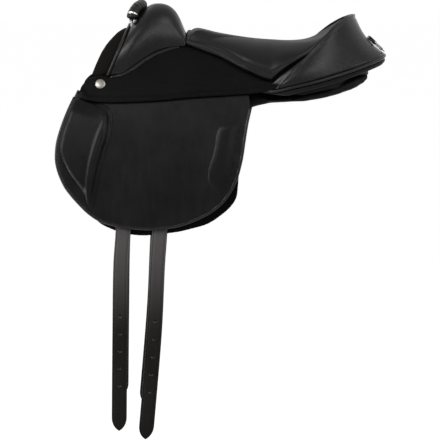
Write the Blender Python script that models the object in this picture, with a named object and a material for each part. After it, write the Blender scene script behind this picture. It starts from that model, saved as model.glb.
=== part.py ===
import math

import bmesh
import bpy
from mathutils import Matrix, Vector

# Pony saddle. The frame has +X to the cantle, +Z up and the near side at -Y, with the
# origin on the centre plane at the level where the panels bear on the pony's back.

# Counts of points, rows and facets
SPAN_POINTS = 12           # of a smooth line between two given points
OUTLINE_POINTS = 70
FLAP_ROWS, FLAP_COLUMNS = 13, 6
SWEAT_ROWS, SWEAT_COLUMNS = 12, 5
BINDING_POINTS = 34
BLOCK_POINTS = 24
SKIRT_COLUMNS, TONGUE_COLUMNS, SKIRT_ROWS = 26, 16, 6
BILLET_HEAD_ROWS, BILLET_ROWS = 3, 12
HOLE_FACETS = 8
TREE_FACETS = 16           # across the tree
SEAT_POINTS = (4, 10, 11)  # of its front, side and rear edge
CANTLE_COLUMNS = 15
FOOT_POINTS = 24
POMMEL_ROWS, POMMEL_FACETS = 13, 22
LINING_FACETS = 8
PANEL_FACETS = 16
TURNED_FACETS = 14
SMALL_FACETS = 8
BORE_FACETS = 12
DOME_ROWS = 3
HANDLE_POINTS = 17

# Fit
GAP = 0.0003               # clearance of faces that touch
SLIDE_GAP = 0.0010         # clearance beside a strap that swings between two leathers

# Barrel of the pony's side, a leaning cylinder that all side leathers follow
BARREL_RADIUS = 0.457
HINGE_HALF_WIDTH = 0.085   # from the centre plane to the line where the leathers bend
HINGE_HEIGHT = 0.041       # height of that line at x = 0
HINGE_RISE = math.radians(6.3)
HINGE_SLOPE = math.radians(27.0)

# Side leathers, from the outer face inwards
SKIRT_LEATHER = 0.003
FLAP_LEATHER = 0.0045
BILLET_LEATHER = 0.0038
SWEAT_LEATHER = 0.004
FLAP_DEPTH = SKIRT_LEATHER + GAP
BILLET_DEPTH = FLAP_DEPTH + FLAP_LEATHER + SLIDE_GAP
SWEAT_DEPTH = BILLET_DEPTH + BILLET_LEATHER + SLIDE_GAP
TREE_DEPTH = 0.0158
TREE_WALL = 0.005
PANEL_DEPTH = TREE_DEPTH + TREE_WALL + GAP
PANEL_SKIRT_DEPTH = SWEAT_DEPTH + SWEAT_LEATHER + GAP

# Skirt: lower edge from front to rear, and upper edge from front to rear, as (x, z)
SKIRT_LOWER = ((-0.207, 0.018), (-0.205, 0.010), (-0.185, 0.005), (-0.152, 0.004), (-0.102, 0.006),
               (-0.030, 0.012), (0.026, 0.016), (0.060, 0.020), (0.082, 0.0265))
SKIRT_TONGUE = ((-0.207, 0.018), (-0.204, 0.027), (-0.195, 0.036), (-0.183, 0.0405), (-0.160, 0.042),
                (-0.144, 0.0445), (-0.130, 0.0525), (-0.112, 0.0655), (-0.092, 0.0785), (-0.074, 0.0835),
                (-0.0515, 0.0840))
SKIRT_SEAT_EDGE = ((-0.0515, 0.0840), (-0.027, 0.0765), (-0.001, 0.0665), (0.026, 0.0515),
                   (0.038, 0.0460), (0.058, 0.0370), (0.071, 0.0330), (0.082, 0.0265))
SKIRT_SPLIT = 0.0365       # along the bend line, to the rear end of the band that lifts

# Flap and sweat flap outlines below the bend, from the front corner round to the rear corner
FLAP_FRONT = -0.2095
FLAP_REAR = 0.036
FLAP_HEAD_DOWN = 0.0030    # of the flap's upper edge below the bend line, clear of the skirt's swing
FLAP_EDGE = ((-0.2165, 0.0115), (-0.2255, -0.0072), (-0.2343, -0.0298), (-0.2408, -0.0523),
             (-0.2427, -0.0721), (-0.2418, -0.0834), (-0.2390, -0.0947), (-0.2346, -0.1061),
             (-0.2288, -0.1175), (-0.2203, -0.1289), (-0.2101, -0.1404), (-0.1988, -0.1519),
             (-0.1877, -0.1608), (-0.1776, -0.1664), (-0.1661, -0.1704), (-0.1532, -0.1737),
             (-0.1402, -0.1763), (-0.1229, -0.1780), (-0.1000, -0.1785), (-0.0620, -0.1735),
             (-0.0240, -0.1585), (-0.0010, -0.1415), (0.0125, -0.1240), (0.0220, -0.1030),
             (0.0275, -0.0837), (0.0305, -0.0690), (0.0335, -0.0496), (0.0375, -0.0269),
             (0.0430, -0.0042))
SWEAT_FRONT = -0.2025
SWEAT_REAR = 0.030
SWEAT_TOP_DOWN = 0.024     # of the sweat flap below the bend line
SWEAT_EDGE = ((-0.2090, 0.0000), (-0.2200, -0.0200), (-0.2310, -0.0500), (-0.2345, -0.0720),
              (-0.2300, -0.0980), (-0.2145, -0.1280), (-0.1940, -0.1525), (-0.1779, -0.1690),
              (-0.1663, -0.1755), (-0.1534, -0.1808), (-0.1404, -0.1846), (-0.1230, -0.1870),
              (-0.1057, -0.1870), (-0.0796, -0.1843), (-0.0622, -0.1818), (-0.0448, -0.1776),
              (-0.0274, -0.1729), (-0.0158, -0.1674), (-0.0042, -0.1594), (0.0074, -0.1500),
              (0.0161, -0.1396), (0.0202, -0.1305), (0.0217, -0.1189), (0.0227, -0.1074),
              (0.0235, -0.0940), (0.0240, -0.0800), (0.0270, -0.0500), (0.0320, -0.0200))
BINDING_RADIUS = 0.0026

# Blocks under the flap's face, as (x, z) outlines and heights
KNEE_BLOCK = ((-0.210, 0.0005), (-0.192, -0.005), (-0.177, -0.012), (-0.1715, -0.024), (-0.180, -0.052),
              (-0.189, -0.082), (-0.198, -0.114), (-0.200, -0.134), (-0.210, -0.118), (-0.222, -0.096),
              (-0.230, -0.070), (-0.230, -0.042), (-0.222, -0.014))
KNEE_BLOCK_HEIGHT = 0.0075
THIGH_BLOCK = ((0.024, -0.027), (0.003, -0.026), (-0.007, -0.033), (-0.012, -0.055), (-0.019, -0.081),
               (-0.024, -0.100), (-0.020, -0.115), (-0.006, -0.128), (0.004, -0.118), (0.012, -0.096),
               (0.019, -0.066), (0.024, -0.044))
THIGH_BLOCK_HEIGHT = 0.0045
BLOCK_EDGE_HEIGHT = 0.0016
BLOCK_RINGS = ((1.0, 0.0), (0.95, 0.62), (0.80, 0.88), (0.45, 1.0))   # shares of its reach and rise

# Girth billets
BILLET_WIDTH = 0.022
BILLET_HOLE = 0.005
BILLET_HOLES = 5
BILLET_PIVOT_DOWN = 0.014  # of the pivot below the bend line
BILLET_TIP = 0.020         # length of the pointed end
BILLET_ROW_POWER = 1.4     # closes its rows up towards the tree
BILLET_CROWN = 0.0010      # half width of the head's end row
BILLET_POINT = 0.0008      # half width of the tip's end row
BILLET_TAPER = ((0.45, 0.72), (0.10, 0.25))   # shares of the tip's length and of the half width
PUNCH_LENGTH = 0.05
FRONT_BILLET = {"line": ((0.010, -0.1485), (-0.080, -0.1455), (-0.170, -0.1440), (-0.230, -0.1480),
                         (-0.330, -0.1500), (-0.4745, -0.1520)),
                "first_hole": -0.3045, "pitch": 0.0256}
REAR_BILLET = {"line": ((0.012, -0.1005), (-0.080, -0.0940), (-0.170, -0.0912), (-0.230, -0.0950),
                        (-0.330, -0.1000), (-0.4875, -0.1135)),
               "first_hole": -0.3120, "pitch": 0.0262}
WEB_THICKNESS = 0.0010
POINT_WEB_SHARE = 0.6      # of half a billet's width that a point web reaches ahead of it

# Seat: half its edge from the front to the rear centre, as x, share of the bend line's half width, z
SEAT_CENTRE = 0.065
SEAT_FRONT_EDGE = ((-0.0478, 0.0, 0.1000), (-0.0485, 0.3529, 0.0955), (-0.0500, 0.6647, 0.0860))
SEAT_SIDE_EDGE = ((-0.0500, 0.6647, 0.0860), (-0.027, 0.7647, 0.0775), (-0.001, 0.8588, 0.0675),
                  (0.026, 0.9706, 0.0525), (0.038, 1.0235, 0.0470), (0.058, 1.0824, 0.0382),
                  (0.0715, 1.1118, 0.0345))
SEAT_REAR_EDGE = ((0.0715, 1.1118, 0.0345), (0.084, 1.0941, 0.0470), (0.103, 1.0588, 0.0600),
                  (0.128, 0.9824, 0.0750), (0.153, 0.8176, 0.0968), (0.174, 0.5353, 0.1145),
                  (0.1890, 0.2353, 0.1238), (0.1945, 0.0, 0.1255))
SEAT_CREST = ((-0.055, 0.1045), (-0.0465, 0.1095), (-0.0400, 0.1115), (-0.033, 0.1110), (-0.022, 0.1075),
              (-0.006, 0.1028), (0.012, 0.0993), (0.042, 0.0948), (0.072, 0.0920), (0.098, 0.0900),
              (0.118, 0.0880), (0.136, 0.0872), (0.153, 0.0905), (0.172, 0.1010), (0.1945, 0.1255))
SEAT_LEATHER = 0.0024
SEAT_ROLL = 0.0030         # height of the roll along the seat's edge
SEAT_CHANNEL = 0.0015      # depth of the channel inside of the roll
SEAT_ROLL_SHARE = 0.945    # of the way from the seat's centre to its edge
SEAT_CHANNEL_SHARE = 0.865
SEAT_ROLL_REACH = 0.06     # half widths of the two, as shares of the same way
SEAT_CHANNEL_REACH = 0.05
SEAT_ROUND_POWER = 2.3     # section of the seat ahead of its dish
SEAT_FRONT_POWER = 8.0     # section of its squarer front end
SEAT_FRONT_END = -0.030    # x on the edge where that starts
SEAT_FRONT_LENGTH = 0.018  # that it takes to be complete
SEAT_DISH_POWER = 3.6      # section of the dish towards the cantle
SEAT_DISH_START = 0.085    # x on the edge where the dish starts
SEAT_DISH_LENGTH = 0.065   # that it takes to be complete
SEAT_RINGS = (1.0, 0.975, SEAT_ROLL_SHARE, 0.905, SEAT_CHANNEL_SHARE, 0.72, 0.52, 0.28)
FOAM_RINGS = SEAT_RINGS[2:]
FOAM_REST = 0.0028         # of the foam above the webs
FOAM_EDGE = 0.0040         # thickness of the foam at its edge
FOAM_TAPER = 0.80          # share of the way to the edge where it starts to thin

# Cantle: half the seam on its rim and half the piping round its foot, with widths as shares again
RIM_SEAM = ((0.0835, 1.1588, 0.0265), (0.0910, 1.1588, 0.0350), (0.105, 1.1353, 0.0508),
            (0.120, 1.0765, 0.0665), (0.134, 1.0118, 0.0785), (0.158, 0.8529, 0.1000),
            (0.179, 0.5882, 0.1172), (0.1945, 0.2706, 0.1265), (0.2010, 0.0, 0.1280))
FOOT_LINE = ((0.0775, 1.1765, 0.0225), (0.105, 1.2118, 0.0290), (0.142, 1.1588, 0.0375),
             (0.180, 1.0059, 0.0480), (0.212, 0.7529, 0.0580), (0.2355, 0.4294, 0.0655),
             (0.2440, 0.1941, 0.0695), (0.2466, 0.0, 0.0708))
FOOT_LINE_START = (0.066, 1.1647, 0.0187)
CANTLE_LEATHER = 0.0024
CANTLE_FULLNESS = 0.0040   # of the facing between rim and foot at the sides
CANTLE_HOLLOW = -0.0068    # the same at the rear centre, where the facing is hollow
RIM_TURN = 0.72            # share of the way from the rim seam to the seat that the cover turns over
RIM_CROWN = 0.0010         # of the cover over the rim
FACING_UP = 0.050          # rise of the direction in which the facing is full or hollow
FACING_TURN = 0.7          # share of the rim's width that the direction spreads from
FACING_ROWS = (0.0, 0.2, 0.45, 0.7, 0.88, 1.0)   # shares of the way from the foot to the rim
CANTLE_MIDDLE = 0.10       # x that the cantle's outer face looks away from
CANTLE_OUT = 0.06          # rise of that look
PIPING_RADIUS = 0.0024
BAND_HEIGHT = 0.0075
BAND_WIDTH = 0.016
BAND_PROUD = 0.0008        # of the foot line at the middle of its edge
BAND_BACK = -0.0010        # inside of the foot line at its corners

# Pommel, as (x, z) of its lower edge and of its crown, from front to rear
POMMEL_LOWER = ((-0.1635, 0.0440), (-0.144, 0.0465), (-0.130, 0.0545), (-0.112, 0.0675), (-0.092, 0.0805),
                (-0.074, 0.0855), (-0.0525, 0.0860))
POMMEL_CROWN = ((-0.1315, 0.1150), (-0.1230, 0.1250), (-0.1110, 0.1368), (-0.1000, 0.1428),
                (-0.0895, 0.1442), (-0.0795, 0.1430), (-0.0712, 0.1390), (-0.0645, 0.1325),
                (-0.0592, 0.1232), (-0.0550, 0.1125), (-0.0505, 0.1015))
POMMEL_LEATHER = 0.003
POMMEL_FULLNESS = 2.45     # exponent of its section
POMMEL_PROUD = 0.0012      # of the skirt's face
VALLEY_DEPTH = 0.0100
VALLEY_WIDTH = 0.017
VALLEY_PLACE = 0.75        # exponent that brings its deepest place forward
VALLEY_SHOULDER = 0.4      # share of its depth that the shoulders beside it rise
POMMEL_MIDDLE = (-0.09, 0.04)    # x and z that the pommel's outer face looks away from
POMMEL_PIPING_DROP = 0.0008
LINING_FRONT = ((-0.1900, 0.7176, 0.0420), (-0.1825, 0.6941, 0.0600), (-0.1720, 0.6235, 0.0805),
                (-0.1560, 0.4706, 0.0985), (-0.1460, 0.2588, 0.1055), (-0.1430, 0.0, 0.1065))
LINING_TUCK = 0.0086       # of its back edge inside of the pommel's front edge
LINING_THICKNESS = 0.0060

# Tree: rows of (x at the foot, foot z, x at the crown, crown z, exponent of the section)
TREE_ROWS = ((-0.156, 0.004, -0.124, 0.098, 1.30), (-0.140, 0.004, -0.118, 0.108, 1.35),
             (-0.122, 0.004, -0.110, 0.116, 1.40), (-0.106, 0.006, -0.101, 0.119, 1.45),
             (-0.090, 0.012, -0.088, 0.116, 1.50), (-0.078, 0.030, -0.076, 0.108, 1.55),
             (-0.062, 0.038, -0.060, 0.094, 1.70), (-0.040, 0.041, -0.040, 0.083, 1.90),
             (-0.010, 0.049, -0.010, 0.078, 2.00), (0.030, 0.051, 0.030, 0.073, 2.10),
             (0.070, 0.050, 0.070, 0.069, 2.20), (0.105, 0.050, 0.105, 0.068, 2.20),
             (0.135, 0.052, 0.135, 0.070, 2.10), (0.160, 0.055, 0.160, 0.075, 2.00),
             (0.180, 0.059, 0.180, 0.083, 2.00), (0.196, 0.063, 0.196, 0.087, 2.00))
TREE_INSET = 0.022         # of the tree's rear inside of the foot line
TREE_WINDOW = {"front": -0.012, "rear": 0.118, "half_width": 0.026, "low": 0.030, "high": 0.110,
               "corner": 0.0234, "facets": 4}
TREE_OUT = 0.06            # rise of the direction in which its outer face points

# Panels: rows of x, then (share of that half width, z) of the inner low and inner top corners
# and z of the outer two
PANEL_ROWS = ((-0.184, (0.8235, -0.046), (0.5176, 0.016), -0.038, 0.024),
              (-0.176, (0.8235, -0.074), (0.4353, 0.022), -0.062, 0.034),
              (-0.150, (0.8471, -0.088), (0.3765, 0.032), -0.076, 0.040),
              (-0.090, (0.8706, -0.084), (0.3529, 0.040), -0.074, 0.046),
              (-0.030, (0.7529, -0.052), (0.3529, 0.040), -0.046, 0.046),
              (0.030, (0.5412, -0.008), (0.3647, 0.038), -0.014, 0.036),
              (0.070, (0.4706, 0.004), (0.4000, 0.034), -0.0005, 0.009),
              (0.120, (0.4471, 0.008), (0.4000, 0.036), 0.0015, 0.0165),
              (0.165, (0.4353, 0.016), (0.4000, 0.040), 0.0095, 0.0265),
              (0.195, (0.4471, 0.024), (0.4235, 0.043), 0.0190, 0.0350),
              (0.212, (0.4824, 0.033), (0.4588, 0.044), 0.0280, 0.0405),
              (0.2195, (0.5176, 0.0385), (0.4941, 0.0440), 0.0360, 0.0425))
PANEL_EXPONENT = 3.0
PANEL_STEP = 0.03          # length over which rows that stand further apart get one between
PANEL_INSET = ((0.075, 0.019), (0.120, 0.010))   # inside of the foot line, along the panel

# Stirrup bar on the tree, with a hinged catch that closes the open end of its slot
BAR_RUN = -0.074           # of its heel along the bend line
BAR_DOWN = -0.013          # of its middle below the bend line
BAR_LIFT = 0.0006          # of the plate off the tree
BAR_PLATE = 0.0025
BAR_SLOT = 0.0046          # room for the stirrup leather
BAR_FINGER = 0.0038
BAR_HEEL = 0.0070
BAR_FINGER_LENGTH = 0.0565
BAR_FINGER_HALF = 0.0045   # half heights, down the tree
BAR_PLATE_HALF = 0.0070
BAR_HEEL_ROUND = 0.0040
BAR_FOOT = 0.0100          # of the plate ahead of the heel and behind the catch, for a rivet each
BAR_RIVET_RADIUS = 0.0030
BAR_RIVET_HEIGHT = 0.0014
CATCH_PLACE = 0.0600       # of its pin behind the heel
CATCH_HUB = 0.0022
CATCH_HALF = 0.0045
CATCH_ARM = 0.0015         # half thickness
CATCH_TURN = (137, 403)    # degrees that its hub turns through, up to the arm
PIN_TURN = 315             # degrees to the last of its facets
PIN_FACETS = 7
PIN_RADIUS = 0.0010
PIN_CLEARANCE = 0.0003
EAR_WALL = 0.0018
EAR_HALF_LENGTH = 0.0030

# Nails, dees and the grab handle
NAIL_RADIUS = 0.0075
NAIL_HEIGHT = 0.0028
NAIL_RIM = 0.0006
NAIL_PLACE = (-0.177, 0.030)
DEE_WIRE = 0.0016
CRUPPER_SHARE = 0.32       # of the way from the foot line up to the rim
CRUPPER_HALF_WIDTH = 0.0165
CRUPPER_LENGTH = 0.0195
CRUPPER_LIFT = 0.0036      # of the dee's bar off the facing
CRUPPER_CORNER = 0.0045
DEE_REST = 0.0010          # of the dee's end off the facing
CHAPE_HALF_WIDTH = 0.0105
CHAPE_LENGTH = 0.0140
CHAPE_THICKNESS = 0.0050
HANDLE_RADIUS = 0.0087
HANDLE_END_SHARE = 0.85    # of that radius at its ends
HANDLE_LINE = ((-0.1306, 0.0372, 0.1288), (-0.1294, 0.0360, 0.1332), (-0.1235, 0.0270, 0.1388),
               (-0.1182, 0.0140, 0.1418), (-0.1170, 0.0, 0.1425))
HANDLE_AXIS = (-0.1316, 0.1212)  # x and z of the staples' bars, on which the handle swings
STAPLE_WIRE = 0.0014
STAPLE_MIDDLE = 0.0372
STAPLE_HALF = 0.0082
STAPLE_FOOT_GAP = 0.0018
LOOP_HALF = (0.0029, 0.0045)     # half thickness and half width of an end loop
LOOP_TOP = 0.0040                # of the loop above the bar
BORE_CLEARANCE = 0.0004
BORE_LENGTH = 0.05
FACING_STEP = 0.05         # share either side of the dee for the facing's slope
TOP_STEP = 0.002           # between rows of the pommel that give its slope

# Webs and plate of the tree
WEB_LIFT = 0.0013          # of the webs off the tree
HEAD_PLATE_THICKNESS = 0.0018
HEAD_PLATE_LIFT = 0.0098   # of the plate inside of the tree's face, towards the arch's middle
HEAD_PLATE_MIDDLE = 0.045  # height of that middle
HEAD_PLATE_SPAN = (-0.138, -0.114)

PIECES = "pony_saddle"
CUTTERS = "cutters"
NEAR = -1
FAR = 1
SIDES = (("near", NEAR), ("far", FAR))

SHARP_ANGLE = math.radians(40.0)
BLACK_LEATHER = ((0.012, 0.012, 0.013), 0.42, 0.0)
DULL_LEATHER = ((0.014, 0.013, 0.012), 0.62, 0.0)
LINING_CLOTH = ((0.016, 0.014, 0.012), 0.85, 0.0)
STEEL = ((0.62, 0.62, 0.60), 0.28, 1.0)
DARK_STEEL = ((0.18, 0.18, 0.19), 0.40, 1.0)
TREE_PLASTIC = ((0.05, 0.05, 0.05), 0.55, 0.0)
FOAM = ((0.60, 0.56, 0.42), 0.90, 0.0)
WEBBING = ((0.30, 0.28, 0.22), 0.85, 0.0)


# Scene, materials and objects

def clear_scene():
    for item in list(bpy.data.objects):
        bpy.data.objects.remove(item, do_unlink=True)
    for name in (PIECES, CUTTERS):
        group = bpy.data.collections.new(name)
        bpy.context.scene.collection.children.link(group)


def finish_with(item, finish):
    colour, roughness, metallic = finish
    material = bpy.data.materials.new(item.name)
    material.use_nodes = True
    shader = material.node_tree.nodes["Principled BSDF"]
    shader.inputs["Base Color"].default_value = (*colour, 1.0)
    shader.inputs["Roughness"].default_value = roughness
    shader.inputs["Metallic"].default_value = metallic
    item.data.materials.append(material)


def place_object(name, data, finish, group=PIECES):
    item = bpy.data.objects.new(name, data)
    bpy.data.collections[group].objects.link(item)
    if finish:
        finish_with(item, finish)
    return item


def mesh_object(name, shape, finish, group=PIECES):
    bmesh.ops.remove_doubles(shape, verts=shape.verts, dist=1e-6)
    bmesh.ops.recalc_face_normals(shape, faces=shape.faces)
    mesh = bpy.data.meshes.new(name)
    shape.to_mesh(mesh)
    shape.free()
    mesh.shade_smooth()
    mesh.set_sharp_from_angle(angle=SHARP_ANGLE)
    return place_object(name, mesh, finish, group)


def set_origin(item, point):
    item.data.transform(Matrix.Translation(-Vector(point)))
    item.location = point


def widened(table):
    """Table of (x, share of the bend line's half width, z) made places."""
    return tuple((x, share * HINGE_HALF_WIDTH, z) for x, share, z in table)


def evaluated_mesh(item):
    view = bpy.context.evaluated_depsgraph_get()
    return bpy.data.meshes.new_from_object(item.evaluated_get(view))


def apply_boolean(item, tool, operation):
    modifier = item.modifiers.new("cut", "BOOLEAN")
    modifier.operation = operation
    modifier.solver = "EXACT"
    modifier.object = tool
    mesh = evaluated_mesh(item)
    item.modifiers.remove(modifier)
    item.data = mesh
    mesh.shade_smooth()
    mesh.set_sharp_from_angle(angle=SHARP_ANGLE)


def hide_cutter(item):
    item.hide_render = True
    item.display_type = "WIRE"


# Curves through points

def along(points, count):
    """Points spaced evenly on a smooth curve through the given ones."""
    points = [Vector(p) for p in points]
    fine = []
    last = len(points) - 1
    for i in range(last):
        before = points[i - 1] if i else points[0] * 2.0 - points[1]
        after = points[i + 2] if i + 2 <= last else points[last] * 2.0 - points[last - 1]
        for k in range(SPAN_POINTS):
            t = k / SPAN_POINTS
            a = (points[i] * 3.0 - before - points[i + 1] * 3.0 + after) * 0.5
            b = (before * 2.0 - points[i] * 5.0 + points[i + 1] * 4.0 - after) * 0.5
            c = (points[i + 1] - before) * 0.5
            fine.append(a * t ** 3 + b * t ** 2 + c * t + points[i])
    fine.append(points[last])
    steps = [0.0]
    for p, q in zip(fine, fine[1:]):
        steps.append(steps[-1] + (q - p).length)
    result = []
    at = 0
    for k in range(count):
        want = steps[-1] * k / (count - 1)
        while at < len(steps) - 2 and steps[at + 1] < want:
            at += 1
        share = (want - steps[at]) / (steps[at + 1] - steps[at])
        result.append(fine[at].lerp(fine[at + 1], min(1.0, share)))
    return result


def height_at(table, x):
    """Value at x of a smooth line through the table's (x, value) pairs."""
    if x <= table[0][0]:
        return table[0][1]
    for i in range(len(table) - 1):
        x0, v0 = table[i]
        x1, v1 = table[i + 1]
        if x <= x1:
            before = table[max(i - 1, 0)]
            after = table[min(i + 2, len(table) - 1)]
            slope0 = (v1 - before[1]) / (x1 - before[0])
            slope1 = (after[1] - v0) / (after[0] - x0)
            t = (x - x0) / (x1 - x0)
            step = x1 - x0
            return ((2 * t ** 3 - 3 * t ** 2 + 1) * v0 + (t ** 3 - 2 * t ** 2 + t) * step * slope0
                    + (3 * t ** 2 - 2 * t ** 3) * v1 + (t ** 3 - t ** 2) * step * slope1)
    return table[-1][1]


# Barrel of the side leathers

def barrel_y(x, z, depth):
    """Half distance from the centre plane, depth inside of the skirt's outer face."""
    down = x * math.sin(HINGE_RISE) - (z - HINGE_HEIGHT) * math.cos(HINGE_RISE)
    radius = BARREL_RADIUS - depth
    climb = max(0.0, BARREL_RADIUS * math.sin(HINGE_SLOPE) - down)
    centre = HINGE_HALF_WIDTH - BARREL_RADIUS * math.cos(HINGE_SLOPE)
    return centre + math.sqrt(radius ** 2 - climb ** 2)


def on_barrel(x, z, depth, side):
    return Vector((x, side * barrel_y(x, z, depth), z))


def to_line(x, z):
    """Distances along the bend line and down from it, seen from the side."""
    rise = z - HINGE_HEIGHT
    return (x * math.cos(HINGE_RISE) + rise * math.sin(HINGE_RISE),
            x * math.sin(HINGE_RISE) - rise * math.cos(HINGE_RISE))


def from_line(run, down):
    return (run * math.cos(HINGE_RISE) + down * math.sin(HINGE_RISE),
            HINGE_HEIGHT + run * math.sin(HINGE_RISE) - down * math.cos(HINGE_RISE))


# Solids from rows of points

def add_rows(shape, rows):
    return [[shape.verts.new(p) for p in row] for row in rows]


def join_rows(shape, rows, closed):
    for low, high in zip(rows, rows[1:]):
        count = len(low)
        for j in range(count if closed else count - 1):
            k = (j + 1) % count
            corners = []
            for v in (low[j], low[k], high[k], high[j]):
                if all((v.co - c.co).length > 1e-7 for c in corners):
                    corners.append(v)
            if len(corners) > 2:
                shape.faces.new(corners)


def sheet_solid(name, outer, inner, finish):
    """Closed sheet between two grids of the same size."""
    shape = bmesh.new()
    top = add_rows(shape, outer)
    low = add_rows(shape, inner)
    join_rows(shape, top, False)
    join_rows(shape, [row[::-1] for row in low], False)
    join_rows(shape, [top[0], low[0]], False)
    join_rows(shape, [low[-1], top[-1]], False)
    join_rows(shape, [[r[0] for r in low], [r[0] for r in top]], False)
    join_rows(shape, [[r[-1] for r in top], [r[-1] for r in low]], False)
    return mesh_object(name, shape, finish)


def disc_solid(name, outer, inner, finish):
    """Closed plate between two sets of rings, each ending in its centre."""
    shape = bmesh.new()
    for rings in (outer, inner):
        rows = add_rows(shape, rings[0])
        join_rows(shape, rows, True)
        centre = shape.verts.new(rings[1])
        last = rows[-1]
        for j in range(len(last)):
            shape.faces.new((last[j - 1], last[j], centre))
    shape.verts.ensure_lookup_table()
    count = len(outer[0][0])
    start = len(outer[0]) * count + 1
    for j in range(count):
        k = (j + 1) % count
        shape.faces.new((shape.verts[j], shape.verts[k], shape.verts[start + k], shape.verts[start + j]))
    return mesh_object(name, shape, finish)


def loft_solid(name, loops, finish):
    """Closed loft through loops of points, with flat ends."""
    shape = bmesh.new()
    rows = add_rows(shape, loops)
    join_rows(shape, rows, True)
    for row in (rows[0], rows[-1]):
        centre = shape.verts.new(sum((v.co for v in row), Vector()) / len(row))
        for j in range(len(row)):
            shape.faces.new((row[j - 1], row[j], centre))
    return mesh_object(name, shape, finish)


def grid_normals(rows, closed, toward):
    normals = []
    last = len(rows) - 1
    for i, row in enumerate(rows):
        line = []
        count = len(row)
        for j in range(count):
            if closed:
                left, right = row[j - 1], row[(j + 1) % count]
            else:
                left, right = row[max(j - 1, 0)], row[min(j + 1, count - 1)]
            step = rows[min(i + 1, last)][j] - rows[max(i - 1, 0)][j]
            normal = (right - left).cross(step).normalized()
            line.append(normal if normal.dot(toward(row[j])) > 0.0 else -normal)
        normals.append(line)
    return normals


def moved(rows, normals, distance):
    return [[p + n * distance for p, n in zip(row, line)] for row, line in zip(rows, normals)]


def tube_object(name, points, radius, finish, resolution=1, cyclic=False):
    curve = bpy.data.curves.new(name, "CURVE")
    curve.dimensions = "3D"
    curve.bevel_depth = radius
    curve.bevel_resolution = resolution
    curve.use_fill_caps = True
    spline = curve.splines.new("POLY")
    spline.points.add(len(points) - 1)
    for target, p in zip(spline.points, points):
        target.co = (*p, 1.0)
    spline.use_cyclic_u = cyclic
    return place_object(name, curve, finish)


def mirror_line(half):
    """Whole line from a half that ends on the centre plane, from near to far."""
    near = [Vector((p[0], -p[1], p[2])) for p in half]
    return near + [Vector((p[0], p[1], p[2])) for p in reversed(half[:-1])]


# Side leathers

def row_plate(name, side, outline, depth, leather, levels, columns, finish):
    """Plate on the barrel whose rows run along the bend line."""
    points = [to_line(x, z) for x, z in outline]
    outer, inner = [], []
    for down in levels:
        cuts = []
        for (r0, d0), (r1, d1) in zip(points, points[1:] + points[:1]):
            if (d0 - down) * (d1 - down) <= 0.0 and d0 != d1:
                cuts.append(r0 + (r1 - r0) * (down - d0) / (d1 - d0))
        front, rear = min(cuts), max(cuts)
        row = [from_line(front + (rear - front) * k / columns, down) for k in range(columns + 1)]
        outer.append([on_barrel(x, z, depth, side) for x, z in row])
        inner.append([on_barrel(x, z, depth + leather, side) for x, z in row])
    return sheet_solid(name, outer, inner, finish)


def eased_levels(first, last, count):
    return [first + (last - first) * math.sin(0.5 * math.pi * k / count) for k in range(count + 1)]


def inside_edge(edge, reach):
    """The open edge moved inwards, seen from the side."""
    result = []
    last = len(edge) - 1
    for i, p in enumerate(edge):
        step = Vector(edge[min(i + 1, last)]) - Vector(edge[max(i - 1, 0)])
        result.append(Vector(p) + Vector((-step[1], step[0])).normalized() * reach)
    return result


def flap_outline(edge, front, rear, down):
    """Closed outline from the front end of the bend line, round the edge, to its rear end."""
    lower = along((from_line(front, down), *edge, from_line(rear, down)), OUTLINE_POINTS)
    return [(p[0], p[1]) for p in lower]


def lowest(outline):
    return max(to_line(x, z)[1] for x, z in outline)


def build_flap(name, side):
    edge = inside_edge(FLAP_EDGE, 2 * BINDING_RADIUS + GAP)
    outline = flap_outline(edge, FLAP_FRONT, FLAP_REAR, FLAP_HEAD_DOWN)
    levels = eased_levels(FLAP_HEAD_DOWN + GAP, lowest(outline) - GAP, FLAP_ROWS)
    return row_plate("flap_" + name, side, outline, FLAP_DEPTH, FLAP_LEATHER, levels, FLAP_COLUMNS,
                     BLACK_LEATHER)


def build_sweat_flap(name, side):
    outline = flap_outline(SWEAT_EDGE, SWEAT_FRONT, SWEAT_REAR, SWEAT_TOP_DOWN)
    levels = eased_levels(SWEAT_TOP_DOWN + GAP, lowest(outline) - GAP, SWEAT_ROWS)
    return row_plate("sweat_flap_" + name, side, outline, SWEAT_DEPTH, SWEAT_LEATHER, levels,
                     SWEAT_COLUMNS, DULL_LEATHER)


def build_flap_binding(name, side):
    depth = FLAP_DEPTH + FLAP_LEATHER / 2
    line = inside_edge(along(FLAP_EDGE, BINDING_POINTS), BINDING_RADIUS)
    points = [on_barrel(p[0], p[1], depth, side) for p in line]
    return tube_object("flap_binding_" + name, points, BINDING_RADIUS, BLACK_LEATHER)


def block_rings(outline, side, height):
    centre = Vector((sum(p[0] for p in outline), sum(p[1] for p in outline))) / len(outline)
    base = FLAP_DEPTH - GAP
    outer, inner = [], []
    for share, lift in BLOCK_RINGS:
        rise = BLOCK_EDGE_HEIGHT + (height - BLOCK_EDGE_HEIGHT) * lift
        ring = [centre + (Vector(p) - centre) * share for p in outline]
        outer.append([on_barrel(x, z, base - rise, side) for x, z in ring])
        inner.append([on_barrel(x, z, base, side) for x, z in ring])
    tops = on_barrel(centre[0], centre[1], base - height, side)
    feet = on_barrel(centre[0], centre[1], base, side)
    return (outer, tops), (inner, feet)


def build_block(name, outline, side, height):
    loop = along((*outline, outline[0]), BLOCK_POINTS + 1)[:-1]
    outer, inner = block_rings([(p[0], p[1]) for p in loop], side, height)
    return disc_solid(name, outer, inner, BLACK_LEATHER)


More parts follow.
